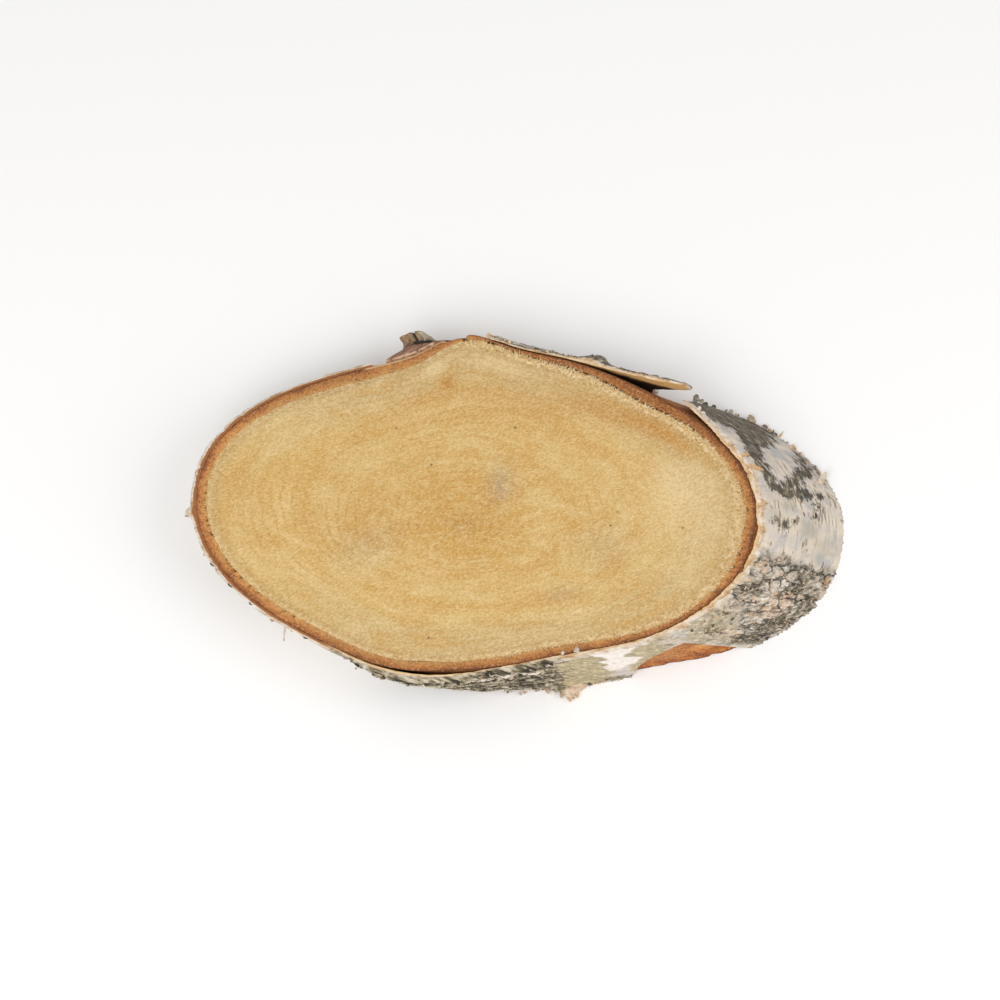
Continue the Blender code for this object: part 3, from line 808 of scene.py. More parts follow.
def bark_relief(angle, height):
    """Relief of the bark in mm, and how high it stands for its kind, from 0 in a crack to 1 on a crest, lowered by
    painted shade on the layered plates.
    """
    furrowed, layered, olive, _, mossy, _, _ = zones(angle, height)
    peel = noise.noise(on_trunk(angle, RIM_RADIUS, height, 0.7, 7.0))
    flake = ease((noise.noise(on_trunk(angle, RIM_RADIUS, height, 2.4, 3.0)) - 0.22) / 0.06)
    relief, crest = 0.08 * peel + 0.14 * flake, 0.5 + 0.3 * peel
    if furrowed > 0.0:
        plates = plate_relief(angle, height)
        relief += 0.5 * furrowed * plates
        crest += furrowed * (0.5 + 0.6 * plates - crest)
    if layered > 0.0:
        layers = layer_relief(angle, height)
        relief += 0.7 * layered * layers
        # Painted shade: the layered plates are darker below about 15.6 mm and at 236 to 260 degrees
        shaded = 0.34 * ease((15.6 - height) / 3.0) + 0.1 * between(angle, 236.0, 260.0, 6.0)
        crest += layered * (0.62 + 0.5 * layers - shaded - crest)
    fuzz = noise.fractal(on_trunk(angle, RIM_RADIUS, height, 0.6), 0.7, 2.1, 2)
    relief += (0.2 * olive + 0.2 * mossy) * fuzz + 0.3 * fuzz * ease((1.6 - height) / 1.6)
    return relief, min(1.0, max(0.0, crest))


def worn(angle, across):
    """How much of the sawn edge has crumbled off, in mm: in thin layers that run along the rim."""
    crumbs = noise.fractal(on_trunk(angle, RIM_RADIUS, 2.0 * across, 0.7), 0.7, 2.1, 3)
    thin_layers = noise.noise(on_trunk(angle, RIM_RADIUS, 2.4 * across, 0.6, 4.0))
    broken = noise.noise(on_trunk(angle, RIM_RADIUS, 0.0, 3.4)) + 0.5 * noise.noise(on_trunk(angle, RIM_RADIUS, 0.0, 1.1))
    corky = between(angle, 262.0, 49.0, 8.0)
    layered = between(angle, 244.0, 284.0, 6.0)
    loss = 0.12 + max(0.0, 0.25 * crumbs) + 0.5 * corky * max(0.0, thin_layers) + 0.3 * across ** 3
    loss += 0.6 * corky * ease((across + 0.5 * broken - 0.6) / 0.6)
    loss += 1.4 * layered * ease((across + 0.9 * broken - 0.55) / 0.3)
    return loss


def sheet_angle(along, up):
    """Angle of a point of the outer bark: along goes from 0 at the torn end to 1 at the flap's end."""
    ragged = 0.8 * noise.noise(Vector((along * 2.0, up * 6.0, 3.0)))
    start = TORN_END + TORN_END_SLANT * ease((1.0 - up) / TORN_SLANT_SHARE) + ragged
    sweep = start + 360.0 - FLAP_END - 0.7 * ragged
    return start - sweep * along


def torn_share(along, angle):
    """0 up to where the torn end starts to lift, 1 at its edge."""
    if along > HALF_WAY:
        return 0.0
    return min(1.0, max(0.0, away(angle, TORN_END_ROOT)) / (TORN_END - TORN_END_ROOT))


def flap_share(along, angle):
    """0 up to the root of the flap, 1 at its free end, and 0 on the torn end, which lies at like angles."""
    if along < HALF_WAY:
        return 0.0
    return max(0.0, away(FLAP_ROOT, angle)) / (FLAP_ROOT - FLAP_END)


def sheet_lift(along, angle, height):
    """How far the sheet stands off the inner bark, besides the gap between them."""
    torn = TORN_END_LIFT * torn_share(along, angle) ** 2 * from_below(TORN_END_LIFT_LEFT_BELOW, height)
    flap = FLAP_LIFT * flap_share(along, angle) ** 3 * max(0.0, from_below(1.0 - FLAP_TILT, height))
    return torn + flap + swell(LOWER_GAP, angle) * from_below(0.0, height)


def sheet_thickness(angle, height):
    """Thickness of the outer bark before its relief."""
    plates = swell(TOP_PLATES, angle) * from_below(TOP_PLATES_LEFT_BELOW, height)
    thickness = PAPER_THICKNESS + swell(SHEET_SWELLINGS, angle) + plates
    for size, middle, spread, lump_height, lump_spread in LUMPS:
        thickness += size * bell(away(angle, middle) / spread) * bell((height - lump_height) / lump_spread)
    return thickness


def crumbled(angle, seed):
    """How much of the sheet's edge has crumbled away here."""
    spot = on_trunk(angle, RIM_RADIUS, seed)
    return max(0.0, 0.5 * noise.noise(spot / 3.0) + 0.35 * noise.noise(spot / 1.1) + 0.2 * noise.noise(spot / 0.45))


def sheet_top(along, angle):
    """Height of the sheet's top edge: sawn flush, but missing on the hump and round the stub."""
    top = THICKNESS - 0.15 - 0.6 * crumbled(angle, 7.0)
    bare_from, bare_to, bare_depth = BARE_HUMP
    if along > HALF_WAY and bare_from < angle % 360.0 < bare_to:
        share = (angle % 360.0 - bare_from) / (bare_to - bare_from)
        top = min(top, THICKNESS - bare_depth * sqrt(sin(radians(180.0 * share))))
    off = away(angle, STUB_ANGLE) / (STUB_HALF_ANGLE + degrees(STUB_CLEARANCE / rim(STUB_ANGLE)))
    if abs(off) < 1.0:
        top = min(top, STUB_HEIGHT - (STUB_HALF_HEIGHT + STUB_CLEARANCE) * sqrt(1.0 - off * off))
    return top


def sheet_bottom(along, angle):
    """Height of the sheet's bottom edge: sawn flush, but for the chip, a broken stretch and the flap."""
    turn = angle % 360.0
    ragged = crumbled(angle, 23.0)
    bottom = 0.8 * ragged
    if CHIP_LEFT < turn < CHIP_RIGHT:
        rise = (turn - CHIP_LEFT) / (CHIP_PEAK - CHIP_LEFT)
        rise += CHIP_BULGE * rise * (1.0 - rise)
        fall = (CHIP_RIGHT - turn) / (CHIP_RIGHT - CHIP_PEAK)
        bottom = max(bottom, CHIP_HEIGHT * min(rise, fall) + 0.8 * ragged)
    loss, middle, spread = LOWER_LOSS
    bottom += (loss + ragged) * bell((away(turn, middle) / spread) ** 2)
    if flap_share(along, angle) > 0.0:
        back = turn - FLAP_END
        fall = FLAP_BOTTOM_FALL * back + FLAP_STEEP_FALL * max(0.0, back - FLAP_BEND)
        bottom = max(bottom, FLAP_END_BOTTOM - fall + 0.8 * ragged)
    return bottom


def sheet_point(along, share):
    """Angle, radius, height and finish of a point of the sheet, share of the way round its section."""
    side, part = side_and_share(share, SHEET_CELLS)
    up = (part, 1.0, 1.0 - part, 0.0)[side]
    across = (1.0, 1.0 - part, 0.0, part)[side]
    angle = sheet_angle(along, up)
    low, high = sheet_bottom(along, angle), sheet_top(along, angle) - worn(angle, across)
    height = low + (high - low) * up
    relief, crest = bark_relief(angle, height)
    furrowed, layered, olive, white, mossy, peach, greenish = zones(angle, height)
    torn, flap = torn_share(along, angle), flap_share(along, angle)
    end_taper = ease(min(along, 1.0 - along) / 0.004)
    thickness = (sheet_thickness(angle, height) + relief) * (0.35 + 0.65 * end_taper)
    thickness *= (1.0 - 0.45 * torn) * (1.0 + 0.8 * flap ** 2)
    lift = sheet_lift(along, angle, height)
    outside = rim(angle, height) + GAP + lift + max(0.3, thickness)
    slimmed = ring_slim(angle, height) * (1.0 - torn) * (1.0 - 0.6 * crevice(angle))
    inside = rim(angle, height) + GAP + lift - seam(angle) - slimmed
    radius = inside + (outside - inside) * across
    spot = on_trunk(angle, radius, height)
    if side == 2:
        radius += 0.08 * noise.noise(spot / 1.5)
    left = between(angle, 96.0, 243.0, 6.0) * (1.0 - layered)
    shoulder = 0.8 * noise.noise(on_trunk(angle, RIM_RADIUS, 1.4 * height, 1.6, 2.2))
    shoulder += 0.3 * noise.noise(spot / 0.7) - 0.6 * torn - (high - height)
    papery = between(angle, 306.0, 44.0, 8.0)
    peeled = 0.3 * noise.noise(on_trunk(angle, RIM_RADIUS, 0.0, 1.2)) + 0.1 * noise.noise(spot / 0.4)
    if side == 1:
        cut = 1.0 - 0.9 * papery * ease((across - 0.55 + peeled) / 0.25)
    else:
        cut = ease(shoulder / 0.5 + 0.3) * (1.0 - layered) * (1.0 - 0.6 * left) * (1.0 - 0.85 * papery)
    cut *= ease((across - 0.02) / 0.1) if side != 2 else 0.0
    lichen = growths(angle, height) if side == 0 else -LICHEN_REACH
    # Painted shade on the inner face where the sheet stands off the ring: dark from 0.3 mm below the top, and from
    # lower down towards the flap's end
    deep = THICKNESS - height - 0.3 - 6.0 * max(0.0, flap - 0.35)
    shade = ease(deep / 1.2) if lift > 0.05 else 0.0
    leaves = max(layered, 0.85 * between(angle, 46.0, 92.0, 2.0) * ease((across - 0.45) / 0.3)) * cut
    return angle, radius, height, (
        across, crest, lichen, furrowed, layered * (1.0 - cut), olive, white, mossy, peach, greenish, cut, left, shade,
        leaves)


SHEET_FINISH = (
    "across", "crest", "lichen", "furrowed", "layered", "olive", "white", "mossy", "peach", "greenish", "cut", "left",
    "shade", "leaves")


def make_outer_bark(material):
    """The papery bark: a grid rolled round its own section and bent round the trunk, with both ends closed."""
    bm = bmesh.new()
    log_layer = bm.verts.layers.float_vector.new("log")
    grain_layer = bm.verts.layers.float_vector.new("grain")
    layers = [bm.verts.layers.float.new(name) for name in SHEET_FINISH]
    bmesh.ops.create_grid(bm, x_segments=SHEET_COLUMNS, y_segments=sum(SHEET_CELLS), size=0.5)
    for vert in bm.verts:
        angle, radius, height, finish = sheet_point(vert.co.x + 0.5, (vert.co.y + 0.5) % 1.0)
        vert.co = place(angle, radius, height)
        vert[log_layer] = on_trunk(angle, RIM_RADIUS, height) * MM
        vert[grain_layer] = on_trunk(angle, RIM_RADIUS, radius + 0.3 * height) * MM
        for layer, value in zip(layers, finish):
            vert[layer] = value
    bmesh.ops.remove_doubles(bm, verts=bm.verts, dist=0.00001)
    ends = [edge for edge in bm.edges if edge.is_boundary]
    caps = bmesh.ops.holes_fill(bm, edges=ends, sides=0)["faces"]
    bmesh.ops.triangulate(bm, faces=caps)
    bmesh.ops.recalc_face_normals(bm, faces=bm.faces)
    keep_inside(bm, "outer_bark")
    piece = link_piece(bm, "bark_sheet", material)
    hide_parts("outer_bark")


def birch_cork(colours):
    """Outer bark of birch: white papery cork with lenticels, lichen and olive bloom, rough grey plates with black
    furrows, a tan cut edge and a yellow-tan inner face."""
    material, tree, shader = new_material("birch_cork", 0.74)
    log = add(tree, "Attribute", out="Vector", attribute_name="log")
    known = {name: add(tree, "Attribute", out="Fac", attribute_name=name) for name in SHEET_FINISH}
    grain = add(tree, "Attribute", out="Vector", attribute_name="grain")
    # Paper: cool and warm white with fine lines round the trunk
    cloudy = add(tree, "TexNoise", {"Vector": log, "Scale": 1 / 0.004, "Detail": 3.0})
    cool, warm = tuple(colours.paper), tuple(colours.warm_paper)
    paper = add(tree, "ValToRGB", {0: cloudy}, stops=((0.36, cool), (0.46, linear("#c8c0b8")), (0.56, warm)))
    wound = add(tree, "Mapping", {"Vector": log, "Scale": (0.1, 0.1, 1.0)})
    line = add(tree, "TexNoise", {"Vector": wound, "Scale": 1 / 0.0004, "Detail": 4.0, "Roughness": 0.65})
    lined = add(tree, "MapRange", {0: line, 1: 0.3, 2: 0.7, 3: 0.8, 4: 1.12})
    skin = add(tree, "Mix", {0: 1.0, 6: paper, 7: lined}, out=2, data_type="RGBA", blend_type="MULTIPLY")
    dash = add(tree, "Mapping", {"Vector": log, "Scale": (0.2, 0.2, 1.0)})
    pore = add(tree, "TexNoise", {"Vector": dash, "Scale": 1 / 0.0007, "Detail": 2.0, "Roughness": 0.5})
    pored = add(tree, "MapRange", {0: pore, 1: 0.66, 2: 0.7, 3: 0.0, 4: 0.85})
    pores = add(tree, "Mix", {0: pored, 6: skin, 7: (*linear("#5d4f40"), 1.0)}, out=2, data_type="RGBA")
    # Torn lines: long thin slits round the trunk where one layer of paper ends
    drawn = add(tree, "Mapping", {"Vector": log, "Scale": (0.11, 0.11, 1.0)})
    sheet = add(tree, "TexNoise", {"Vector": drawn, "Scale": 1 / 0.0017, "Detail": 2.0, "Roughness": 0.5})
    middle = add(tree, "Math", {0: sheet, 1: 0.5}, operation="SUBTRACT")
    ridge = add(tree, "Math", {0: middle}, operation="ABSOLUTE")
    slit = add(tree, "MapRange", {0: ridge, 1: 0.01, 2: 0.032, 3: 0.7, 4: 0.0})
    in_parts = add(tree, "MapRange", {0: cloudy, 1: 0.51, 2: 0.57})
    slit = add(tree, "Math", {0: slit, 1: in_parts}, operation="MULTIPLY")
    warmer = add(tree, "MapRange", {0: middle, 1: 0.0, 2: 0.02, 3: 0.0, 4: 0.45})
    stepped = add(tree, "Mix", {0: warmer, 6: pores, 7: (*linear("#e2d2bf"), 1.0)}, out=2, data_type="RGBA")
    pores = add(tree, "Mix", {0: slit, 6: stepped, 7: (*linear("#564a3c"), 1.0)}, out=2, data_type="RGBA")
    # Lichen: dark olive-grey with a brushed, ragged edge
    fine = add(tree, "TexNoise", {"Vector": log, "Scale": 1 / 0.0008, "Detail": 4.0, "Roughness": 0.72})
    brush = add(tree, "Mapping", {"Vector": log, "Scale": (0.4, 0.4, 1.0)})
    brushed = add(tree, "TexNoise", {"Vector": brush, "Scale": 1 / 0.0008, "Detail": 4.0, "Roughness": 0.72})
    edge = add(tree, "MapRange", {0: brushed, 1: 0.2, 2: 0.8, 3: -2.2, 4: 2.2})
    grown_in = add(tree, "Math", {0: known["lichen"], 1: edge}, operation="ADD")
    lichened = add(tree, "MapRange", {0: grown_in, 1: -0.1, 2: 0.7, 3: 0.0, 4: 0.95})
    lichen = add(tree, "ValToRGB", {0: brushed}, stops=(
        (0.34, linear("#a1967e")), (0.43, linear("#746a54")), (0.52, linear("#51483a")), (0.62, linear("#2c271d"))))
    covered = add(tree, "Mix", {0: lichened, 6: pores, 7: lichen}, out=2, data_type="RGBA")
    # Olive bloom: fine and powdery, greenish on the paper and dark where moss has taken hold
    powder = add(tree, "ValToRGB", {0: fine}, stops=(
        (0.32, linear("#776a4b")), (0.5, tuple(colours.olive)), (0.66, linear("#dccdab"))))
    powdered = add(tree, "MapRange", {0: fine, 1: 0.25, 2: 0.5, 3: 0.55, 4: 1.0})
    bloomed = add(tree, "Math", {0: known["olive"], 1: powdered}, operation="MULTIPLY")
    bloom = add(tree, "Mix", {0: bloomed, 6: covered, 7: powder}, out=2, data_type="RGBA")
    dusted = add(tree, "Math", {0: known["greenish"], 1: powdered}, operation="MULTIPLY")
    dust = add(tree, "Mix", {0: dusted, 6: bloom, 7: (*linear("#b3aa8c"), 1.0)}, out=2, data_type="RGBA")
    scuffed = add(tree, "MapRange", {0: fine, 1: 0.3, 2: 0.7, 3: -0.3, 4: 0.3})
    whitened = add(tree, "Math", {0: known["white"], 1: scuffed}, operation="ADD")
    whitened = add(tree, "MapRange", {0: whitened, 1: 0.35, 2: 0.75, 3: 0.0, 4: 0.95})
    clean = add(tree, "ValToRGB", {0: fine}, stops=(
        (0.32, linear("#d6c8bb")), (0.46, linear("#efe4da")), (0.6, linear("#f8f1ea"))))
    bared = add(tree, "Mix", {0: whitened, 6: dust, 7: clean}, out=2, data_type="RGBA")
    moss = add(tree, "ValToRGB", {0: fine}, stops=(
        (0.34, linear("#32291d")), (0.46, linear("#665a45")), (0.56, linear("#94876c")), (0.68, linear("#c6b9a0"))))
    tufty = add(tree, "MapRange", {0: fine, 1: 0.3, 2: 0.7, 3: 0.3, 4: -0.3})
    mossy_here = add(tree, "Math", {0: known["mossy"], 1: tufty}, operation="ADD")
    mossy = add(tree, "MapRange", {0: mossy_here, 1: 0.25, 2: 0.6, 3: 0.0, 4: 0.85})
    greened = add(tree, "Mix", {0: mossy, 6: bared, 7: moss}, out=2, data_type="RGBA")
    # Furrowed plates: a black net of cracks over grey, white, olive and pinkish-tan crumbs
    wander = add(tree, "TexNoise", {"Vector": log, "Scale": 1 / 0.0013, "Detail": 2.0}, out="Color")
    strayed = add(tree, "VectorMath", {0: wander, "Scale": 0.0022}, operation="SCALE")
    netted = add(tree, "VectorMath", {0: log, 1: strayed}, operation="ADD")
    wide = add(tree, "TexVoronoi", {"Vector": netted, "Scale": 1 / 0.0032}, feature="DISTANCE_TO_EDGE")
    narrow = add(tree, "TexVoronoi", {"Vector": netted, "Scale": 1 / 0.0012}, feature="DISTANCE_TO_EDGE")
    torn_up = add(tree, "TexNoise", {"Vector": log, "Scale": 1 / 0.0045, "Detail": 3.0, "Roughness": 0.6})
    open_part = add(tree, "MapRange", {0: torn_up, 1: 0.34, 2: 0.56, 3: 0.15, 4: 1.0})
    wide_gap = add(tree, "MapRange", {0: wide, 1: 0.02, 2: 0.09, 3: 0.95, 4: 0.0})
    wide_gap = add(tree, "Math", {0: wide_gap, 1: open_part}, operation="MULTIPLY")
    narrow_gap = add(tree, "MapRange", {0: narrow, 1: 0.02, 2: 0.13, 3: 0.75, 4: 0.0})
    where = add(tree, "MapRange", {0: torn_up, 1: 0.52, 2: 0.62, 3: 0.0, 4: 0.6})
    where = add(tree, "Math", {0: where, 1: mossy}, operation="MAXIMUM")
    fine_gap = add(tree, "Math", {0: narrow_gap, 1: where}, operation="MULTIPLY")
    gaps = add(tree, "Math", {0: wide_gap, 1: fine_gap}, operation="MAXIMUM")
    crumbly = add(tree, "MapRange", {0: fine, 1: 0.25, 2: 0.75, 3: -0.35, 4: 0.35})
    raised = add(tree, "Math", {0: known["crest"], 1: crumbly}, operation="ADD")
    scales = add(tree, "ValToRGB", {0: raised}, stops=(
        (0.1, linear("#5f5647")), (0.28, linear("#918673")), (0.45, linear("#b7aa97")), (0.65, linear("#d6cabb")),
        (0.85, linear("#ece2d6"))))
    blush = add(tree, "TexNoise", {"Vector": log, "Scale": 1 / 0.0024, "Detail": 3.0, "Roughness": 0.6})
    rubbed = add(tree, "MapRange", {0: blush, 1: 0.35, 2: 0.65, 3: -0.3, 4: 0.5})
    peachy = add(tree, "Math", {0: known["peach"], 1: rubbed}, operation="ADD")
    blushed = add(tree, "MapRange", {0: peachy, 1: 0.3, 2: 0.6, 3: 0.0, 4: 0.85})
    scar = add(tree, "ValToRGB", {0: fine}, stops=(
        (0.32, linear("#a68468")), (0.44, linear("#cfb094")), (0.56, linear("#dec7b0")), (0.68, linear("#f1e7dc"))))
    pinkish = add(tree, "Mix", {0: blushed, 6: scales, 7: scar}, out=2, data_type="RGBA")
    near_scar = add(tree, "MapRange", {0: known["peach"], 1: 0.05, 2: 0.3})
    scarred = add(tree, "Math", {0: blushed, 1: near_scar}, operation="MULTIPLY")
    greened = add(tree, "Mix", {0: scarred, 6: greened, 7: scar}, out=2, data_type="RGBA")
    mossy_scales = add(tree, "Mix", {0: mossy, 6: pinkish, 7: moss}, out=2, data_type="RGBA")
    netting = add(tree, "Mix", {0: gaps, 6: mossy_scales, 7: (*linear("#26231d"), 1.0)}, out=2, data_type="RGBA")
    plated = add(tree, "Mix", {0: known["furrowed"], 6: greened, 7: netting}, out=2, data_type="RGBA")
    # Layered plates: grey shingles with dark olive gaps, darker low on the slice by the painted shade in their crest
    shingles = add(tree, "ValToRGB", {0: raised}, stops=(
        (0.14, linear("#29241b")), (0.34, linear("#5e5542")), (0.5, linear("#968a72")), (0.68, linear("#c4b7a2")),
        (0.9, linear("#e2d5c4"))))
    layered = add(tree, "Mix", {0: known["layered"], 6: plated, 7: shingles}, out=2, data_type="RGBA")
    # Sawn edge: cork in thin layers, peach to cream at the right, grey where it is layered, a line at the left
    wrapped = add(tree, "Mapping", {"Vector": grain, "Scale": (0.22, 0.22, 1.0)})
    layer = add(tree, "TexNoise", {"Vector": wrapped, "Scale": 1 / 0.0006, "Detail": 4.0, "Roughness": 0.65})
    peel = add(tree, "ValToRGB", {0: layer}, stops=(
        (0.3, linear("#ab8054")), (0.4, linear("#cda67a")), (0.52, linear("#dfc3a0")), (0.68, linear("#efdfca"))))
    weathered = add(tree, "ValToRGB", {0: layer}, stops=(
        (0.32, linear("#9a8a74")), (0.43, linear("#c3b5a3")), (0.54, linear("#d9cdbf")), (0.68, linear("#ebe4dc"))))
    in_layers = add(tree, "MapRange", {0: layer, 1: 0.3, 2: 0.7, 3: -0.3, 4: 0.3})
    ageing = add(tree, "Math", {0: known["across"], 1: in_layers}, operation="ADD")
    aged = add(tree, "MapRange", {0: ageing, 1: 0.3, 2: 0.8, 3: 0.0, 4: 0.9})
    tan = add(tree, "Mix", {0: aged, 6: peel, 7: weathered}, out=2, data_type="RGBA")
    leaf = add(tree, "Mapping", {"Vector": grain, "Scale": (0.7, 0.7, 1.0)})
    leaf = add(tree, "TexNoise", {"Vector": leaf, "Scale": 1 / 0.0011, "Detail": 5.0, "Roughness": 0.7})
    dirtier = add(tree, "MapRange", {0: known["across"], 1: 0.4, 2: 0.85, 3: 0.01, 4: -0.08})
    leaf = add(tree, "Math", {0: leaf, 1: dirtier}, operation="ADD")
    grey = add(tree, "ValToRGB", {0: leaf}, stops=(
        (0.38, linear("#2b2519")), (0.45, linear("#75674e")), (0.52, linear("#b3a68c")), (0.64, linear("#ded1bd"))))
    outwards = add(tree, "MapRange", {0: known["across"], 1: 0.12, 2: 0.3})
    leafy = add(tree, "Math", {0: known["leaves"], 1: outwards}, operation="MULTIPLY")
    sawn = add(tree, "Mix", {0: leafy, 6: tan, 7: grey}, out=2, data_type="RGBA")
    inward = add(tree, "MapRange", {0: known["across"], 1: 0.5, 2: 0.32})
    rusty = add(tree, "Math", {0: known["left"], 1: inward}, operation="MULTIPLY")
    rust = add(tree, "Mix", {0: rusty, 6: sawn, 7: (*linear("#9c6234"), 1.0)}, out=2, data_type="RGBA")
    crumbled_in = add(tree, "MapRange", {0: fine, 1: 0.3, 2: 0.6, 3: -0.25, 4: 0.25})
    uneven = add(tree, "Math", {0: known["cut"], 1: crumbled_in}, operation="ADD")
    showing = add(tree, "MapRange", {0: uneven, 1: 0.4, 2: 0.6})
    cut = add(tree, "Mix", {0: showing, 6: layered, 7: rust}, out=2, data_type="RGBA")
    # Inner face: yellow-tan, with painted shade that makes it dark where it lies close to the ring
    within = add(tree, "MapRange", {0: known["across"], 1: 0.12, 2: 0.02, 3: 0.0, 4: 1.0})
    shaded_lining = add(tree, "Mix", {0: known["shade"], 6: (*linear("#e2b878"), 1.0), 7: (*linear("#2a1a0e"), 1.0)},
                 out=2, data_type="RGBA")
    grown_on = add(tree, "Mix", {0: known["left"], 6: shaded_lining, 7: (*linear("#9c6234"), 1.0)}, out=2, data_type="RGBA")
    lined_in = add(tree, "Mix", {0: within, 6: cut, 7: grown_on}, out=2, data_type="RGBA")
    tree.links.new(lined_in, shader.inputs["Base Color"])
    heights = add(tree, "Math", {0: line, 1: fine}, operation="ADD")
    sunk = add(tree, "Math", {0: gaps, 1: known["furrowed"]}, operation="MULTIPLY")
    grooved = add(tree, "Math", {0: heights, 1: sunk}, operation="SUBTRACT")
    bump = add(tree, "Bump", {"Height": grooved, "Strength": 0.6, "Distance": 0.0003})
    tree.links.new(bump, shader.inputs["Normal"])
    return material


# Curls, splinters and tufts of bark

CURL_CELLS = (9, 3)
CURL_THICKNESS = 0.22
# Root's angle, height and stand-off, length, half width, compass heading, rise, how far it curls, and how grey
CURLS = (
    (46.2, 10.6, 0.0, 2.0, 0.9, 105.0, 14.0, 50.0, 0.75),
    (47.2, 9.4, 0.0, 1.7, 0.6, 125.0, 10.0, 30.0, 0.7),
    (45.4, 10.4, 0.0, 1.2, 0.5, 70.0, 10.0, 60.0, 0.6),
    (47.6, 6.8, 0.0, 1.0, 0.7, 80.0, 10.0, 60.0, 0.8),
    (48.0, 4.4, 0.0, 1.0, 0.6, 60.0, 0.0, 60.0, 0.8),
    (46.4, 1.6, 0.0, 1.3, 0.6, 80.0, 0.0, 60.0, 0.45),
    (42.2, 0.9, 0.0, 2.1, 1.1, 72.0, 12.0, 80.0, 0.35),
    (38.3, 0.8, 0.0, 1.2, 0.8, 60.0, 10.0, 70.0, 0.7),
    (33.9, 0.7, 0.0, 1.5, 0.3, 50.0, 10.0, 30.0, 0.2),
    (29.0, 0.7, 0.0, 1.3, 0.7, 62.0, 10.0, 60.0, 0.3),
    (20.2, 0.8, 0.0, 1.4, 0.5, 60.0, 20.0, 30.0, 0.8),
    (15.5, 1.4, 0.0, 3.4, 0.8, 57.0, 12.0, 25.0, 0.38),
    (14.0, 2.0, 0.0, 1.8, 0.7, 110.0, 20.0, 50.0, 0.35),
    (341.2, 1.6, 0.2, 2.6, 1.0, -50.0, 0.0, 110.0, 0.12),
    (340.2, 0.9, 0.0, 1.8, 0.7, -80.0, 0.0, 60.0, 0.2),
    (273.6, 0.9, -0.6, 2.6, 0.9, -76.0, 2.0, 20.0, 0.3),
    (272.4, 0.8, 0.0, 2.0, 0.6, -100.0, 0.0, 30.0, 0.34),
    (274.8, 0.9, -0.3, 1.6, 0.6, -60.0, 0.0, 30.0, 0.3),
    (271.0, 0.8, 0.0, 1.5, 0.4, -80.0, 0.0, 30.0, 0.3),
    (269.4, 0.9, 0.0, 1.7, 0.5, -65.0, 0.0, 30.0, 0.34),
    (267.8, 1.0, 0.0, 1.2, 0.5, -80.0, 0.0, 40.0, 0.4),
    (276.4, 0.8, 0.0, 1.2, 0.6, -50.0, 0.0, 40.0, 0.3),
    (279.6, 0.8, 0.0, 1.1, 0.7, -60.0, 0.0, 50.0, 0.3),
    (283.6, 0.8, 0.0, 1.0, 0.5, -40.0, 0.0, 40.0, 0.35),
    (188.3, 17.0, 0.0, 1.7, 0.4, 200.0, 0.0, 30.0, 0.5),
    (200.7, 17.0, 0.0, 1.9, 0.4, 245.0, -10.0, 20.0, 0.2),
    (205.6, 17.2, 0.0, 0.9, 0.6, 215.0, 0.0, 70.0, 1.1),
    (213.4, 17.2, 0.0, 1.0, 0.8, 225.0, 0.0, 70.0, 1.1),
    (220.6, 17.2, 0.0, 0.8, 0.5, 235.0, 0.0, 70.0, 0.9),
    (226.2, 16.4, 0.0, 1.6, 0.7, 250.0, -20.0, 60.0, 0.2),
    (228.4, 15.6, 0.0, 5.6, 0.3, 262.0, -25.0, -35.0, 0.5),
    (231.6, 16.6, 0.0, 1.4, 0.7, 290.0, -20.0, 90.0, 0.1),
    (236.0, 17.2, 0.0, 0.9, 0.6, 250.0, 0.0, 70.0, 1.1),
    (18.9, 17.7, -0.3, 2.2, 0.5, 20.0, 2.0, -10.0, 0.0),
    (15.2, 17.6, -0.2, 4.2, 0.6, -14.0, -3.0, -10.0, 0.0),
    (35.0, 17.5, 0.0, 1.5, 0.6, 100.0, 4.0, 50.0, 0.5),
    (37.6, 17.3, 0.0, 1.2, 0.5, 60.0, 4.0, 50.0, 0.4),
    (33.2, 17.5, 0.0, 1.1, 0.5, -20.0, 4.0, 50.0, 0.6),
    (289.6, 17.72, -0.8, 1.4, 0.4, 95.0, 0.0, 18.0, 0.54),
    (292.6, 17.72, -0.8, 1.4, 0.7, 88.0, 0.0, 18.0, 0.54),
    (88.6, 17.3, 0.0, 1.3, 0.6, 150.0, 4.0, 60.0, 0.1),
    (87.0, 17.4, 0.0, 1.0, 0.5, 100.0, 4.0, 60.0, 0.7),
    (84.6, 17.4, 0.0, 0.9, 0.4, 60.0, 4.0, 60.0, 0.3),
)
# Where small loose bits stand: how many, angles from and to, heights from and to, longest
LOOSE_BITS = (
    (46, 12.0, 50.0, 0.4, 1.4, 1.1),
    (26, 262.0, 284.0, 0.5, 1.6, 1.0),
    (16, 320.0, 342.0, 0.4, 1.6, 1.0),
    (150, 313.0, 346.0, 1.0, 16.5, 1.0),
    (40, 246.0, 281.0, 10.0, 17.0, 1.1),
    (30, 300.0, 352.0, 15.6, 17.4, 1.1),
    (16, 205.0, 245.0, 15.0, 17.0, 0.7),
    (40, 50.0, 88.0, 16.4, 17.5, 0.9),
)


def bark_surface(angle, height):
    """How far the outer face of the bark stands off the inner bark."""
    relief, _ = bark_relief(angle, height)
    along = (TORN_END + TORN_END_SLANT - angle) % 360.0 / 360.0
    return GAP + sheet_lift(along, angle, height) + max(0.3, sheet_thickness(angle, height) + relief)


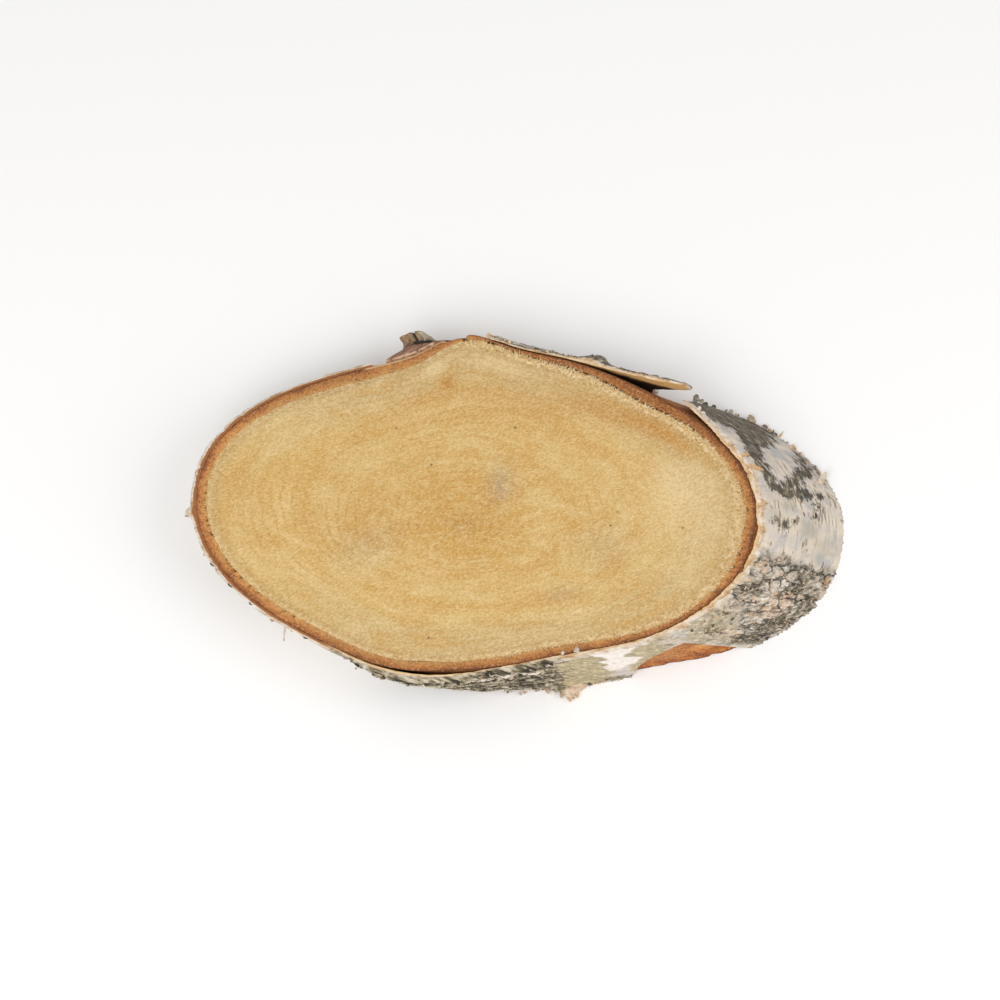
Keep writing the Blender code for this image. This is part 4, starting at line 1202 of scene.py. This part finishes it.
def add_curl(bm, root, length, half_width, heading, rise, curl, grey, ragged):
    """Adds one strip that runs off from its root: a straight one ends in a point, a rolled-up one is blunt."""
    made = bmesh.ops.create_grid(bm, x_segments=CURL_CELLS[0], y_segments=CURL_CELLS[1], size=0.5)
    turn, climb, roll = radians(heading), radians(rise), radians(curl)
    blunt = min(1.0, abs(curl) / 60.0)
    run = Vector((cos(turn) * cos(climb), sin(turn) * cos(climb), sin(climb)))
    side = Vector((-sin(turn), cos(turn), 0.0))
    up = run.cross(side)
    grey_layer = bm.verts.layers.float["grey"]
    for vert in made["verts"]:
        onward, sideways = vert.co.x + 0.5, 2.0 * vert.co.y
        bent = roll * onward
        ahead = sin(bent) / roll if abs(roll) > 0.01 else onward
        lifted = (1.0 - cos(bent)) / roll if abs(roll) > 0.01 else 0.0
        jag = 1.0 + 0.35 * noise.noise(Vector((onward * 3.0, sideways, ragged)))
        ahead *= 1.0 - 0.5 * abs(noise.noise(Vector((1.7 * sideways, ragged, 3.0))))
        pointed, rounded = 1.0 - 0.85 * onward ** 1.6, sqrt(1.0 - 0.96 * onward ** 3)
        width = half_width * jag * (pointed + (rounded - pointed) * blunt)
        trough = 0.25 * half_width * sideways * sideways
        spot = run * (ahead * length) + up * (lifted * length + trough) + side * (sideways * width)
        vert.co = root + spot * MM
        vert[grey_layer] = grey


def make_bark_curls(material):
    """The named curls and splinters and the many small loose bits, as one piece."""
    bm = bmesh.new()
    bm.verts.layers.float.new("grey")
    for number, (angle, height, off, length, half_width, heading, rise, curl, grey) in enumerate(CURLS):
        root = place(angle, rim(angle, height) + bark_surface(angle, height) + off - 0.4, height)
        add_curl(bm, root, length, half_width, heading, rise, curl, grey, float(number))
    rng = random.Random(5)
    for count, first, last, low, high, longest in LOOSE_BITS:
        for _ in range(count):
            angle, height = rng.uniform(first, last), rng.uniform(low, high)
            root = place(angle, rim(angle, height) + bark_surface(angle, height) - 0.15, height)
            outwards = place(angle, 1.0, height) - place(angle, 0.0, height)
            heading = degrees(atan2(outwards.y, outwards.x)) + rng.gauss(0.0, 50.0)
            length = longest * rng.uniform(0.4, 1.0)
            half_width = length * rng.uniform(0.2, 0.5)
            rise, curl = rng.uniform(-20.0, 40.0), rng.uniform(20.0, 130.0)
            add_curl(bm, root, length, half_width, heading, rise, curl, rng.random(), rng.uniform(0.0, 90.0))
    bmesh.ops.solidify(bm, geom=bm.faces[:], thickness=CURL_THICKNESS * MM)
    bmesh.ops.recalc_face_normals(bm, faces=bm.faces)
    keep_inside(bm, "outer_bark")
    piece = link_piece(bm, "bark_curls", material)


def curled_cork(colours):
    """Torn curls of birch cork: cream and tan where the inside shows, grey where the skin does."""
    material, tree, shader = new_material("curled_cork", 0.8)
    grey = add(tree, "Attribute", out="Fac", attribute_name="grey")
    face = add(tree, "TexCoord", out="Object")
    fine = add(tree, "TexNoise", {"Vector": face, "Scale": 1 / 0.0006, "Detail": 3.0, "Roughness": 0.65})
    drift = add(tree, "MapRange", {0: fine, 1: 0.25, 2: 0.75, 3: -0.25, 4: 0.25})
    level = add(tree, "Math", {0: grey, 1: drift}, operation="ADD")
    colour = add(tree, "ValToRGB", {0: level}, stops=(
        (0.0, linear("#c99f74")), (0.2, linear("#dfc09a")), (0.4, tuple(colours.warm_paper)),
        (0.65, linear("#a59c8e")), (0.95, linear("#4a463b"))))
    tree.links.new(colour, shader.inputs["Base Color"])
    bump = add(tree, "Bump", {"Height": fine, "Strength": 0.4, "Distance": 0.0002})
    tree.links.new(bump, shader.inputs["Normal"])
    return material


# Fibres that the saw tore out of the wood's edge

FIBRE_COUNT = 3000
FIBRE_SEGMENTS = 3


def strand_mesh():
    """One straight tapered fibre of unit length along +X, cut into segments along its length."""
    bm = bmesh.new()
    made = bmesh.ops.create_cone(bm, segments=4, radius1=1.0, radius2=0.25, depth=1.0, cap_ends=True)
    bmesh.ops.rotate(bm, verts=made["verts"], matrix=Matrix.Rotation(pi / 2.0, 3, "Y"))
    bmesh.ops.translate(bm, verts=made["verts"], vec=(0.5, 0.0, 0.0))
    long_edges = [edge for edge in bm.edges if abs(edge.verts[0].co.x - edge.verts[1].co.x) > 0.5]
    bmesh.ops.subdivide_edges(bm, edges=long_edges, cuts=FIBRE_SEGMENTS - 1)
    mesh = bpy.data.meshes.new("strand")
    bm.to_mesh(mesh)
    bm.free()
    return mesh


def add_strand(bm, strand, root, run, width, length, bend, tint):
    """Adds one fibre from root along run, bent sideways."""
    start = len(bm.verts)
    bm.from_mesh(strand)
    bm.verts.ensure_lookup_table()
    tint_layer = bm.verts.layers.float["tint"]
    side = Vector((0.0, 0.0, 1.0)).cross(run).normalized()
    up = run.cross(side)
    for vert in bm.verts[start:]:
        along = vert.co.x
        curve = side * (bend * along * along) + up * (0.12 * length * sin(pi * along))
        vert.co = root + run * (along * length) + side * (vert.co.y * width) + up * (vert.co.z * width) + curve
        vert[tint_layer] = tint


def fibre_share(angle):
    """How thickly fibres stand on the wood's edge here."""
    return 0.1 + 1.0 * between(angle, 18.0, 92.0, 10.0) + 0.5 * between(angle, 262.0, 20.0, 20.0)


def make_wood_fibres(sizes, material):
    """The pale fibres that overhang the inner bark, and the few that stand on the face."""
    rng = random.Random(11)
    strand = strand_mesh()
    bm = bmesh.new()
    bm.verts.layers.float.new("tint")
    made = 0
    while made < FIBRE_COUNT:
        angle = rng.uniform(0.0, 360.0)
        if rng.random() > fibre_share(angle):
            continue
        made += 1
        ragged = torn_rim(angle)
        clump = noise.noise(on_trunk(angle, RIM_RADIUS, 0.0) / 1.3)
        radius = inner_bark_foot(angle) - rng.uniform(-0.2, 0.6 + 0.4 * ragged)
        root = place(angle, radius, THICKNESS - rng.uniform(0.08, 0.24))
        outwards = place(angle, radius + 1.0, THICKNESS) - place(angle, radius, THICKNESS)
        run = Matrix.Rotation(rng.gauss(0.0, 0.75), 3, "Z") @ outwards.normalized()
        length = sizes.fibre_length * rng.uniform(0.35, 1.0) * ragged * max(0.3, 1.0 + clump)
        width = sizes.fibre_width * rng.uniform(0.6, 1.2)
        add_strand(bm, strand, root, run, width, length, rng.gauss(0.0, 0.25) * length, rng.random())
    bpy.data.meshes.remove(strand)
    bmesh.ops.recalc_face_normals(bm, faces=bm.faces)
    top = THICKNESS * MM
    for vert in bm.verts:
        vert.co.z = min(vert.co.z, top)
    piece = link_piece(bm, "torn_fibres", material)


def torn_fibre(colours):
    """Birch fibres torn and lifted by the saw: pale, dry and matt."""
    material, tree, shader = new_material("torn_fibre", 0.85)
    tint = add(tree, "Attribute", out="Fac", attribute_name="tint")
    colour = add(tree, "ValToRGB", {0: tint}, stops=((0.0, linear("#d2a868")), (0.5, linear("#e6c88f")), (1.0, linear("#f2dfb8"))))
    tree.links.new(colour, shader.inputs["Base Color"])
    return material


# Broken side branch

STUB_SEGMENTS = 120
STUB_RINGS = 46
STUB_TOP = THICKNESS - 0.2
STUB_FOOT_RISE = 2.5
STUB_END_HALF_WIDTH = 4.2
STUB_END_HALF_HEIGHT = 3.9
STUB_LOBE = 1.9
STUB_LEFT_CUT = 0.6
STUB_RIGHT_CUT = 3.2
STUB_RIGHT_TRIM = 1.0
STUB_DRIFT = 1.4
STUB_NOTCH = 122.0


def stub_point(turn, onward):
    """A point of the stub: onward goes from 0 on its foot to 1 at the rim of its broken end and 1.3 within it."""
    end_angle = STUB_END_ANGLE + STUB_DRIFT
    middle = place(end_angle, rim(STUB_END_ANGLE) + STUB_REACH, STUB_END_HEIGHT)
    foot_middle = place(STUB_ANGLE, rim(STUB_ANGLE) + GAP, STUB_HEIGHT)
    axis = middle - foot_middle
    out = axis.normalized()
    side = min(1.0, onward)
    angle = STUB_ANGLE - STUB_HALF_ANGLE * cos(turn)
    height = min(STUB_TOP, STUB_HEIGHT + STUB_HALF_HEIGHT * sin(turn))
    foot = place(angle, rim(angle) + GAP, height)
    grooves = noise.noise(Vector((2.2 * cos(turn), 2.2 * sin(turn), 1.2 * side)))
    grooves += 0.6 * noise.noise(Vector((6.0 * cos(turn), 6.0 * sin(turn), 2.0 * side + 4.0)))
    lobe = STUB_LOBE * max(0.0, -cos(turn)) ** 5 - STUB_RIGHT_TRIM * max(0.0, cos(turn))
    uneven = 1.0 + 0.8 * noise.noise(Vector((5.0 * cos(turn), 5.0 * sin(turn), 6.0 * onward)))
    notch = bell(away(degrees(turn), STUB_NOTCH + 14.0 * (1.0 - side)) / (7.0 * uneven)) * ease((onward - 0.35) / 0.3)
    fold = uneven * bell((onward - 0.6) / 0.07) * between(degrees(turn), 10.0, STUB_NOTCH, 24.0)
    within = max(0.0, onward - 1.0) / 0.3
    size = (1.0 - within) * (1.0 + 0.10 * grooves * side - 0.16 * notch * side - 0.1 * fold)
    cut_back = STUB_LEFT_CUT * max(0.0, -cos(turn)) ** 2 + STUB_RIGHT_CUT * max(0.0, cos(turn)) ** 2
    across = Vector((STUB_END_HALF_WIDTH + lobe, 0.0, 0.0)) * size * cos(turn)
    end = middle + (across + Vector((0.0, 0.0, STUB_END_HALF_HEIGHT)) * size * sin(turn)) * MM
    shaped = ease(side * 1.25) ** 0.8
    spread = foot.lerp(foot_middle, 0.0) + axis * side
    point = spread.lerp(end - axis * (1.0 - side), shaped)
    teeth = noise.noise(Vector((3.0 * cos(turn) * (1.0 - within), 3.0 * sin(turn) * (1.0 - within), 5.0)))
    teeth += 0.5 * noise.noise(Vector((9.0 * cos(turn) * (1.0 - within), 9.0 * sin(turn) * (1.0 - within), 8.0)))
    broken = (0.35 * teeth - 0.6 * notch) * ease((onward - 0.8) / 0.2) - cut_back * ease((onward - 0.55) / 0.45)
    broken += 1.8 * sqrt(max(0.0, 1.0 - (1.0 - within) ** 2))
    point += out * broken * MM
    found, radius, height = place_of(point)
    least = rim(found) + GAP + STUB_FOOT_RISE * side + 0.25 * grooves * side
    return place(found, max(radius, least), height), grooves, max(notch * side, fold)


def make_branch_stub(material):
    """The broken side branch: a flared collar and a splintered end of two lobes, closed at both ends."""
    bm = bmesh.new()
    log_layer = bm.verts.layers.float_vector.new("log")
    onward_layer = bm.verts.layers.float.new("onward")
    groove_layer = bm.verts.layers.float.new("groove")
    brown_layer = bm.verts.layers.float.new("brown")
    skin_layer = bm.verts.layers.float.new("skin")
    bmesh.ops.create_grid(bm, x_segments=STUB_SEGMENTS, y_segments=STUB_RINGS, size=0.5)
    for vert in bm.verts:
        turn = 2.0 * pi * ((vert.co.x + 0.5) % 1.0)
        onward = (vert.co.y + 0.5) * 1.3
        vert.co, grooves, notch = stub_point(turn, onward)
        wide = 4.0 * min(1.0, (1.3 - onward) / 0.3)
        vert[log_layer] = Vector((wide * cos(turn), wide * sin(turn), 8.0 * min(1.0, onward))) * MM
        vert[onward_layer] = onward
        # Low values are painted shade: in the notch between the lobes, the fold by the collar and the deepest grooves
        vert[groove_layer] = min(1.0, max(0.0, 0.55 + 0.4 * grooves - notch))
        vert[brown_layer] = ease((-cos(turn) - 0.15) / 0.2)
        vert[skin_layer] = 0.65 * ease((0.1 - onward) / 0.08) * max(0.0, sin(turn))
    bmesh.ops.remove_doubles(bm, verts=bm.verts, dist=0.00001)
    ends = [edge for edge in bm.edges if edge.is_boundary]
    caps = bmesh.ops.holes_fill(bm, edges=ends, sides=0)["faces"]
    bmesh.ops.triangulate(bm, faces=caps)
    bmesh.ops.recalc_face_normals(bm, faces=bm.faces)
    keep_inside(bm, "branch_stub")
    piece = link_piece(bm, "broken_branch", material)
    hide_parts("branch_stub")


def weathered_branch(colours):
    """A birch side branch that broke off and weathered: purple-brown bark at its collar, grey fibres at its end."""
    material, tree, shader = new_material("weathered_branch", 0.85)
    log = add(tree, "Attribute", out="Vector", attribute_name="log")
    onward = add(tree, "Attribute", out="Fac", attribute_name="onward")
    groove = add(tree, "Attribute", out="Fac", attribute_name="groove")
    drawn = add(tree, "Mapping", {"Vector": log, "Scale": (1.0, 1.0, 0.3)})
    fine = add(tree, "TexNoise", {"Vector": drawn, "Scale": 1 / 0.0006, "Detail": 4.0, "Roughness": 0.65})
    brown = add(tree, "Attribute", out="Fac", attribute_name="brown")
    skin = add(tree, "Attribute", out="Fac", attribute_name="skin")
    collar = add(tree, "ValToRGB", {0: fine}, stops=(
        (0.3, linear("#6b4a38")), (0.5, tuple(colours.collar)), (0.72, linear("#cba88e"))))
    end = add(tree, "ValToRGB", {0: fine}, stops=(
        (0.3, linear("#5e5345")), (0.5, linear("#9d8e76")), (0.72, linear("#cfc0a4"))))
    heartwood = add(tree, "ValToRGB", {0: fine}, stops=(
        (0.3, linear("#5f4836")), (0.5, linear("#8f7556")), (0.72, linear("#b29574"))))
    blotchy = add(tree, "TexNoise", {"Vector": log, "Scale": 1 / 0.0016, "Detail": 4.0, "Roughness": 0.6})
    # Darker in blotches towards the sides of the broken end
    end_darkening = add(tree, "MapRange", {0: onward, 1: 0.92, 2: 0.64, 3: -0.15, 4: 0.4})
    end_darkening = add(tree, "Math", {0: blotchy, 1: end_darkening}, operation="ADD")
    end_blotches_darker = add(tree, "MapRange", {0: end_darkening, 1: 0.5, 2: 0.78, 3: 0.0, 4: 0.8})
    end = add(tree, "Mix", {0: end_blotches_darker, 6: end, 7: (*linear("#4b4136"), 1.0)}, out=2, data_type="RGBA")
    lobes = add(tree, "Mix", {0: brown, 6: end, 7: heartwood}, out=2, data_type="RGBA")
    far = add(tree, "MapRange", {0: onward, 1: 0.54, 2: 0.66})
    spotted = add(tree, "MapRange", {0: blotchy, 1: 0.58, 2: 0.7, 3: 0.0, 4: 0.55})
    collar = add(tree, "Mix", {0: spotted, 6: collar, 7: (*linear("#4a3429"), 1.0)}, out=2, data_type="RGBA")
    shades = add(tree, "Mix", {0: far, 6: collar, 7: lobes}, out=2, data_type="RGBA")
    drift = add(tree, "MapRange", {0: fine, 1: 0.35, 2: 0.65, 3: -0.4, 4: 0.4})
    pale = add(tree, "Math", {0: skin, 1: drift}, operation="ADD")
    paled = add(tree, "MapRange", {0: pale, 1: 0.35, 2: 0.55, 3: 0.0, 4: 0.9})
    skinned = add(tree, "Mix", {0: paled, 6: shades, 7: (*linear("#d3ad8c"), 1.0)}, out=2, data_type="RGBA")
    # Painted shade: near black in the notch between the lobes, in the fold by the collar and in the deepest grooves
    softened = add(tree, "MapRange", {0: blotchy, 1: 0.3, 2: 0.7, 3: -0.12, 4: 0.12})
    groove = add(tree, "Math", {0: groove, 1: softened}, operation="ADD")
    sunk = add(tree, "MapRange", {0: groove, 1: 0.36, 2: 0.04, 3: 0.0, 4: 0.92})
    dark = add(tree, "Mix", {0: sunk, 6: skinned, 7: (*linear("#1c1815"), 1.0)}, out=2, data_type="RGBA")
    tree.links.new(dark, shader.inputs["Base Color"])
    bump = add(tree, "Bump", {"Height": fine, "Strength": 0.7, "Distance": 0.0004})
    tree.links.new(bump, shader.inputs["Normal"])
    return material


# Stage

CAMERA_AZIMUTH = 2.0
CAMERA_ELEVATION = 70.0
CAMERA_DISTANCE = 0.7
CAMERA_LENS = 94.93
CAMERA_SENSOR = 36.0
LOOK_AT = Vector((6.52, 6.52, 0.0))
FLOOR_SIZE = 3.0


def aimed(thing, position, target):
    """Links a camera or a lamp at this position, turned to the target."""
    made = bpy.data.objects.new(thing.name, thing)
    made.location = position
    made.rotation_euler = (target - position).to_track_quat("-Z", "Y").to_euler()
    bpy.context.scene.collection.objects.link(made)
    return made


def add_softbox(name, position, size, power):
    """A square soft lamp, turned to the slice."""
    lamp = bpy.data.lights.new(name, "AREA")
    lamp.size = size
    lamp.energy = power
    aimed(lamp, Vector(position), Vector((0.0, 0.0, 0.0)))


def matt_paper():
    """A sheet of matt white studio paper."""
    material, _, shader = new_material("matt_studio_paper", 0.9)
    shader.inputs["Base Color"].default_value = (*linear("#fbfaf9"), 1.0)
    return material


def make_stage(settings):
    """The pale floor, the soft lamps and the camera at the photograph's angle."""
    bm = bmesh.new()
    bmesh.ops.create_grid(bm, x_segments=1, y_segments=1, size=FLOOR_SIZE / 2.0)
    mesh = bpy.data.meshes.new("floor")
    bm.to_mesh(mesh)
    bm.free()
    mesh.materials.append(matt_paper())
    floor_piece = bpy.data.objects.new("floor", mesh)
    bpy.context.scene.collection.objects.link(floor_piece)
    azimuth, elevation = radians(CAMERA_AZIMUTH), radians(CAMERA_ELEVATION)
    forward = Vector((-sin(azimuth) * cos(elevation), cos(azimuth) * cos(elevation), -sin(elevation)))
    target = AXIS_ON_TOP + LOOK_AT * MM
    camera = bpy.data.cameras.new("camera")
    camera.lens = CAMERA_LENS
    camera.sensor_width = CAMERA_SENSOR
    bpy.context.scene.camera = aimed(camera, target - forward * CAMERA_DISTANCE, target)
    add_softbox("key_softbox", (-0.35, -0.55, 0.75), 0.7, settings.key_power)
    add_softbox("fill_softbox", (0.7, -0.2, 0.6), 0.8, settings.fill_power)
    world = bpy.data.worlds.new("studio")
    world.use_nodes = True
    world.node_tree.nodes["Background"].inputs["Color"].default_value = (1.0, 1.0, 1.0, 1.0)
    world.node_tree.nodes["Background"].inputs["Strength"].default_value = settings.room_light
    bpy.context.scene.world = world
    bpy.context.scene.view_settings.view_transform = "Standard"


# What a user can change

class SliceSizes(bpy.types.PropertyGroup):
    """Sizes of the detail on the slice."""
    saw_fuzz: FloatProperty(
        name="Saw fuzz", description="Depth of the felt that the saw left on the wood",
        default=0.12 * MM, unit="LENGTH", subtype="DISTANCE", precision=5)
    fibre_length: FloatProperty(
        name="Fibre length", description="Length of the longest torn fibres on the wood's edge",
        default=1.3 * MM, unit="LENGTH", subtype="DISTANCE", precision=5)
    fibre_width: FloatProperty(
        name="Fibre width", description="Half width of a torn fibre at its root",
        default=0.1 * MM, unit="LENGTH", subtype="DISTANCE", precision=5)


class SliceColours(bpy.types.PropertyGroup):
    """Main colours of the slice."""
    wood: FloatVectorProperty(
        name="Wood", description="Most of the sawn wood", default=linear("#d9b674"), subtype="COLOR")
    honey: FloatVectorProperty(
        name="Honey", description="The darker growth bands", default=linear("#d4ac67"), subtype="COLOR")
    pale_wood: FloatVectorProperty(
        name="Pale wood", description="The wood next to the bark", default=linear("#cfb27c"), subtype="COLOR")
    inner_bark: FloatVectorProperty(
        name="Inner bark", description="The rust-brown ring", default=linear("#bb7c42"), subtype="COLOR")
    paper: FloatVectorProperty(
        name="Paper", description="Cool white of the papery bark", default=linear("#bdb9b5"), subtype="COLOR")
    warm_paper: FloatVectorProperty(
        name="Warm paper", description="Warm white of the papery bark", default=linear("#dfd0be"), subtype="COLOR")
    olive: FloatVectorProperty(
        name="Olive bloom", description="The powdery growth on the bark", default=linear("#b2a17c"), subtype="COLOR")
    collar: FloatVectorProperty(
        name="Branch collar", description="Bark at the root of the broken branch", default=linear("#916a54"), subtype="COLOR")


class SliceStage(bpy.types.PropertyGroup):
    """Light of the stage."""
    key_power: FloatProperty(
        name="Key light", description="Power of the larger soft lamp", default=5.0, unit="POWER")
    fill_power: FloatProperty(
        name="Fill light", description="Power of the lamp at the right", default=3.0, unit="POWER")
    room_light: FloatProperty(
        name="Room light", description="Strength of the even light all round", default=0.55)


class SLICE_OT_sawn_wood(bpy.types.Operator):
    """Makes the wood's disc with its felted sawn face"""
    bl_idname = "birch_slice.sawn_wood"
    bl_label = "Sawn wood"

    def execute(self, context):
        make_sawn_wood(context.scene.slice_sizes, sawn_birch(context.scene.slice_colours))
        return {"FINISHED"}


class SLICE_OT_torn_fibres(bpy.types.Operator):
    """Makes the pale fibres that the saw tore out of the wood's edge"""
    bl_idname = "birch_slice.torn_fibres"
    bl_label = "Torn fibres"

    def execute(self, context):
        make_wood_fibres(context.scene.slice_sizes, torn_fibre(context.scene.slice_colours))
        return {"FINISHED"}


class SLICE_OT_inner_bark(bpy.types.Operator):
    """Makes the rust-brown ring of inner bark"""
    bl_idname = "birch_slice.inner_bark"
    bl_label = "Inner bark"

    def execute(self, context):
        make_inner_bark(birch_phloem(context.scene.slice_colours))
        return {"FINISHED"}


class SLICE_OT_outer_bark(bpy.types.Operator):
    """Makes the papery outer bark with its lifted flap"""
    bl_idname = "birch_slice.outer_bark"
    bl_label = "Outer bark"

    def execute(self, context):
        make_outer_bark(birch_cork(context.scene.slice_colours))
        return {"FINISHED"}


class SLICE_OT_bark_curls(bpy.types.Operator):
    """Makes the curls, splinters and loose bits of bark"""
    bl_idname = "birch_slice.bark_curls"
    bl_label = "Bark curls"

    def execute(self, context):
        make_bark_curls(curled_cork(context.scene.slice_colours))
        return {"FINISHED"}


class SLICE_OT_branch_stub(bpy.types.Operator):
    """Makes the broken side branch"""
    bl_idname = "birch_slice.branch_stub"
    bl_label = "Branch stub"

    def execute(self, context):
        make_branch_stub(weathered_branch(context.scene.slice_colours))
        return {"FINISHED"}


class SLICE_OT_stage(bpy.types.Operator):
    """Makes the floor, the soft lamps and the camera"""
    bl_idname = "birch_slice.stage"
    bl_label = "Stage"

    def execute(self, context):
        make_stage(context.scene.slice_stage)
        return {"FINISHED"}


class SLICE_PT_panel(bpy.types.Panel):
    """Lists the sizes, the colours and the pieces"""
    bl_label = "Birch slice"
    bl_idname = "SLICE_PT_panel"
    bl_space_type = "VIEW_3D"
    bl_region_type = "UI"
    bl_category = "Slice"

    def draw(self, context):
        for settings in (context.scene.slice_sizes, context.scene.slice_colours, context.scene.slice_stage):
            for name in settings.__annotations__:
                self.layout.prop(settings, name)
        for operator in OPERATORS:
            self.layout.operator(operator.bl_idname)


OPERATORS = (
    SLICE_OT_sawn_wood,
    SLICE_OT_torn_fibres,
    SLICE_OT_inner_bark,
    SLICE_OT_outer_bark,
    SLICE_OT_bark_curls,
    SLICE_OT_branch_stub,
    SLICE_OT_stage,
)
CLASSES = (SliceSizes, SliceColours, SliceStage, *OPERATORS, SLICE_PT_panel)


def register():
    """Registers the classes and hangs the settings on the scene."""
    for entry in CLASSES:
        bpy.utils.register_class(entry)
    bpy.types.Scene.slice_sizes = PointerProperty(type=SliceSizes)
    bpy.types.Scene.slice_colours = PointerProperty(type=SliceColours)
    bpy.types.Scene.slice_stage = PointerProperty(type=SliceStage)


def unregister():
    """Takes the settings and the classes away again."""
    del bpy.types.Scene.slice_stage
    del bpy.types.Scene.slice_colours
    del bpy.types.Scene.slice_sizes
    for entry in reversed(CLASSES):
        bpy.utils.unregister_class(entry)


def main():
    """Makes every piece and the stage."""
    register()
    bpy.ops.birch_slice.sawn_wood()
    bpy.ops.birch_slice.torn_fibres()
    bpy.ops.birch_slice.inner_bark()
    bpy.ops.birch_slice.outer_bark()
    bpy.ops.birch_slice.bark_curls()
    bpy.ops.birch_slice.branch_stub()
    bpy.ops.birch_slice.stage()


if __name__ == "__main__":
    main()
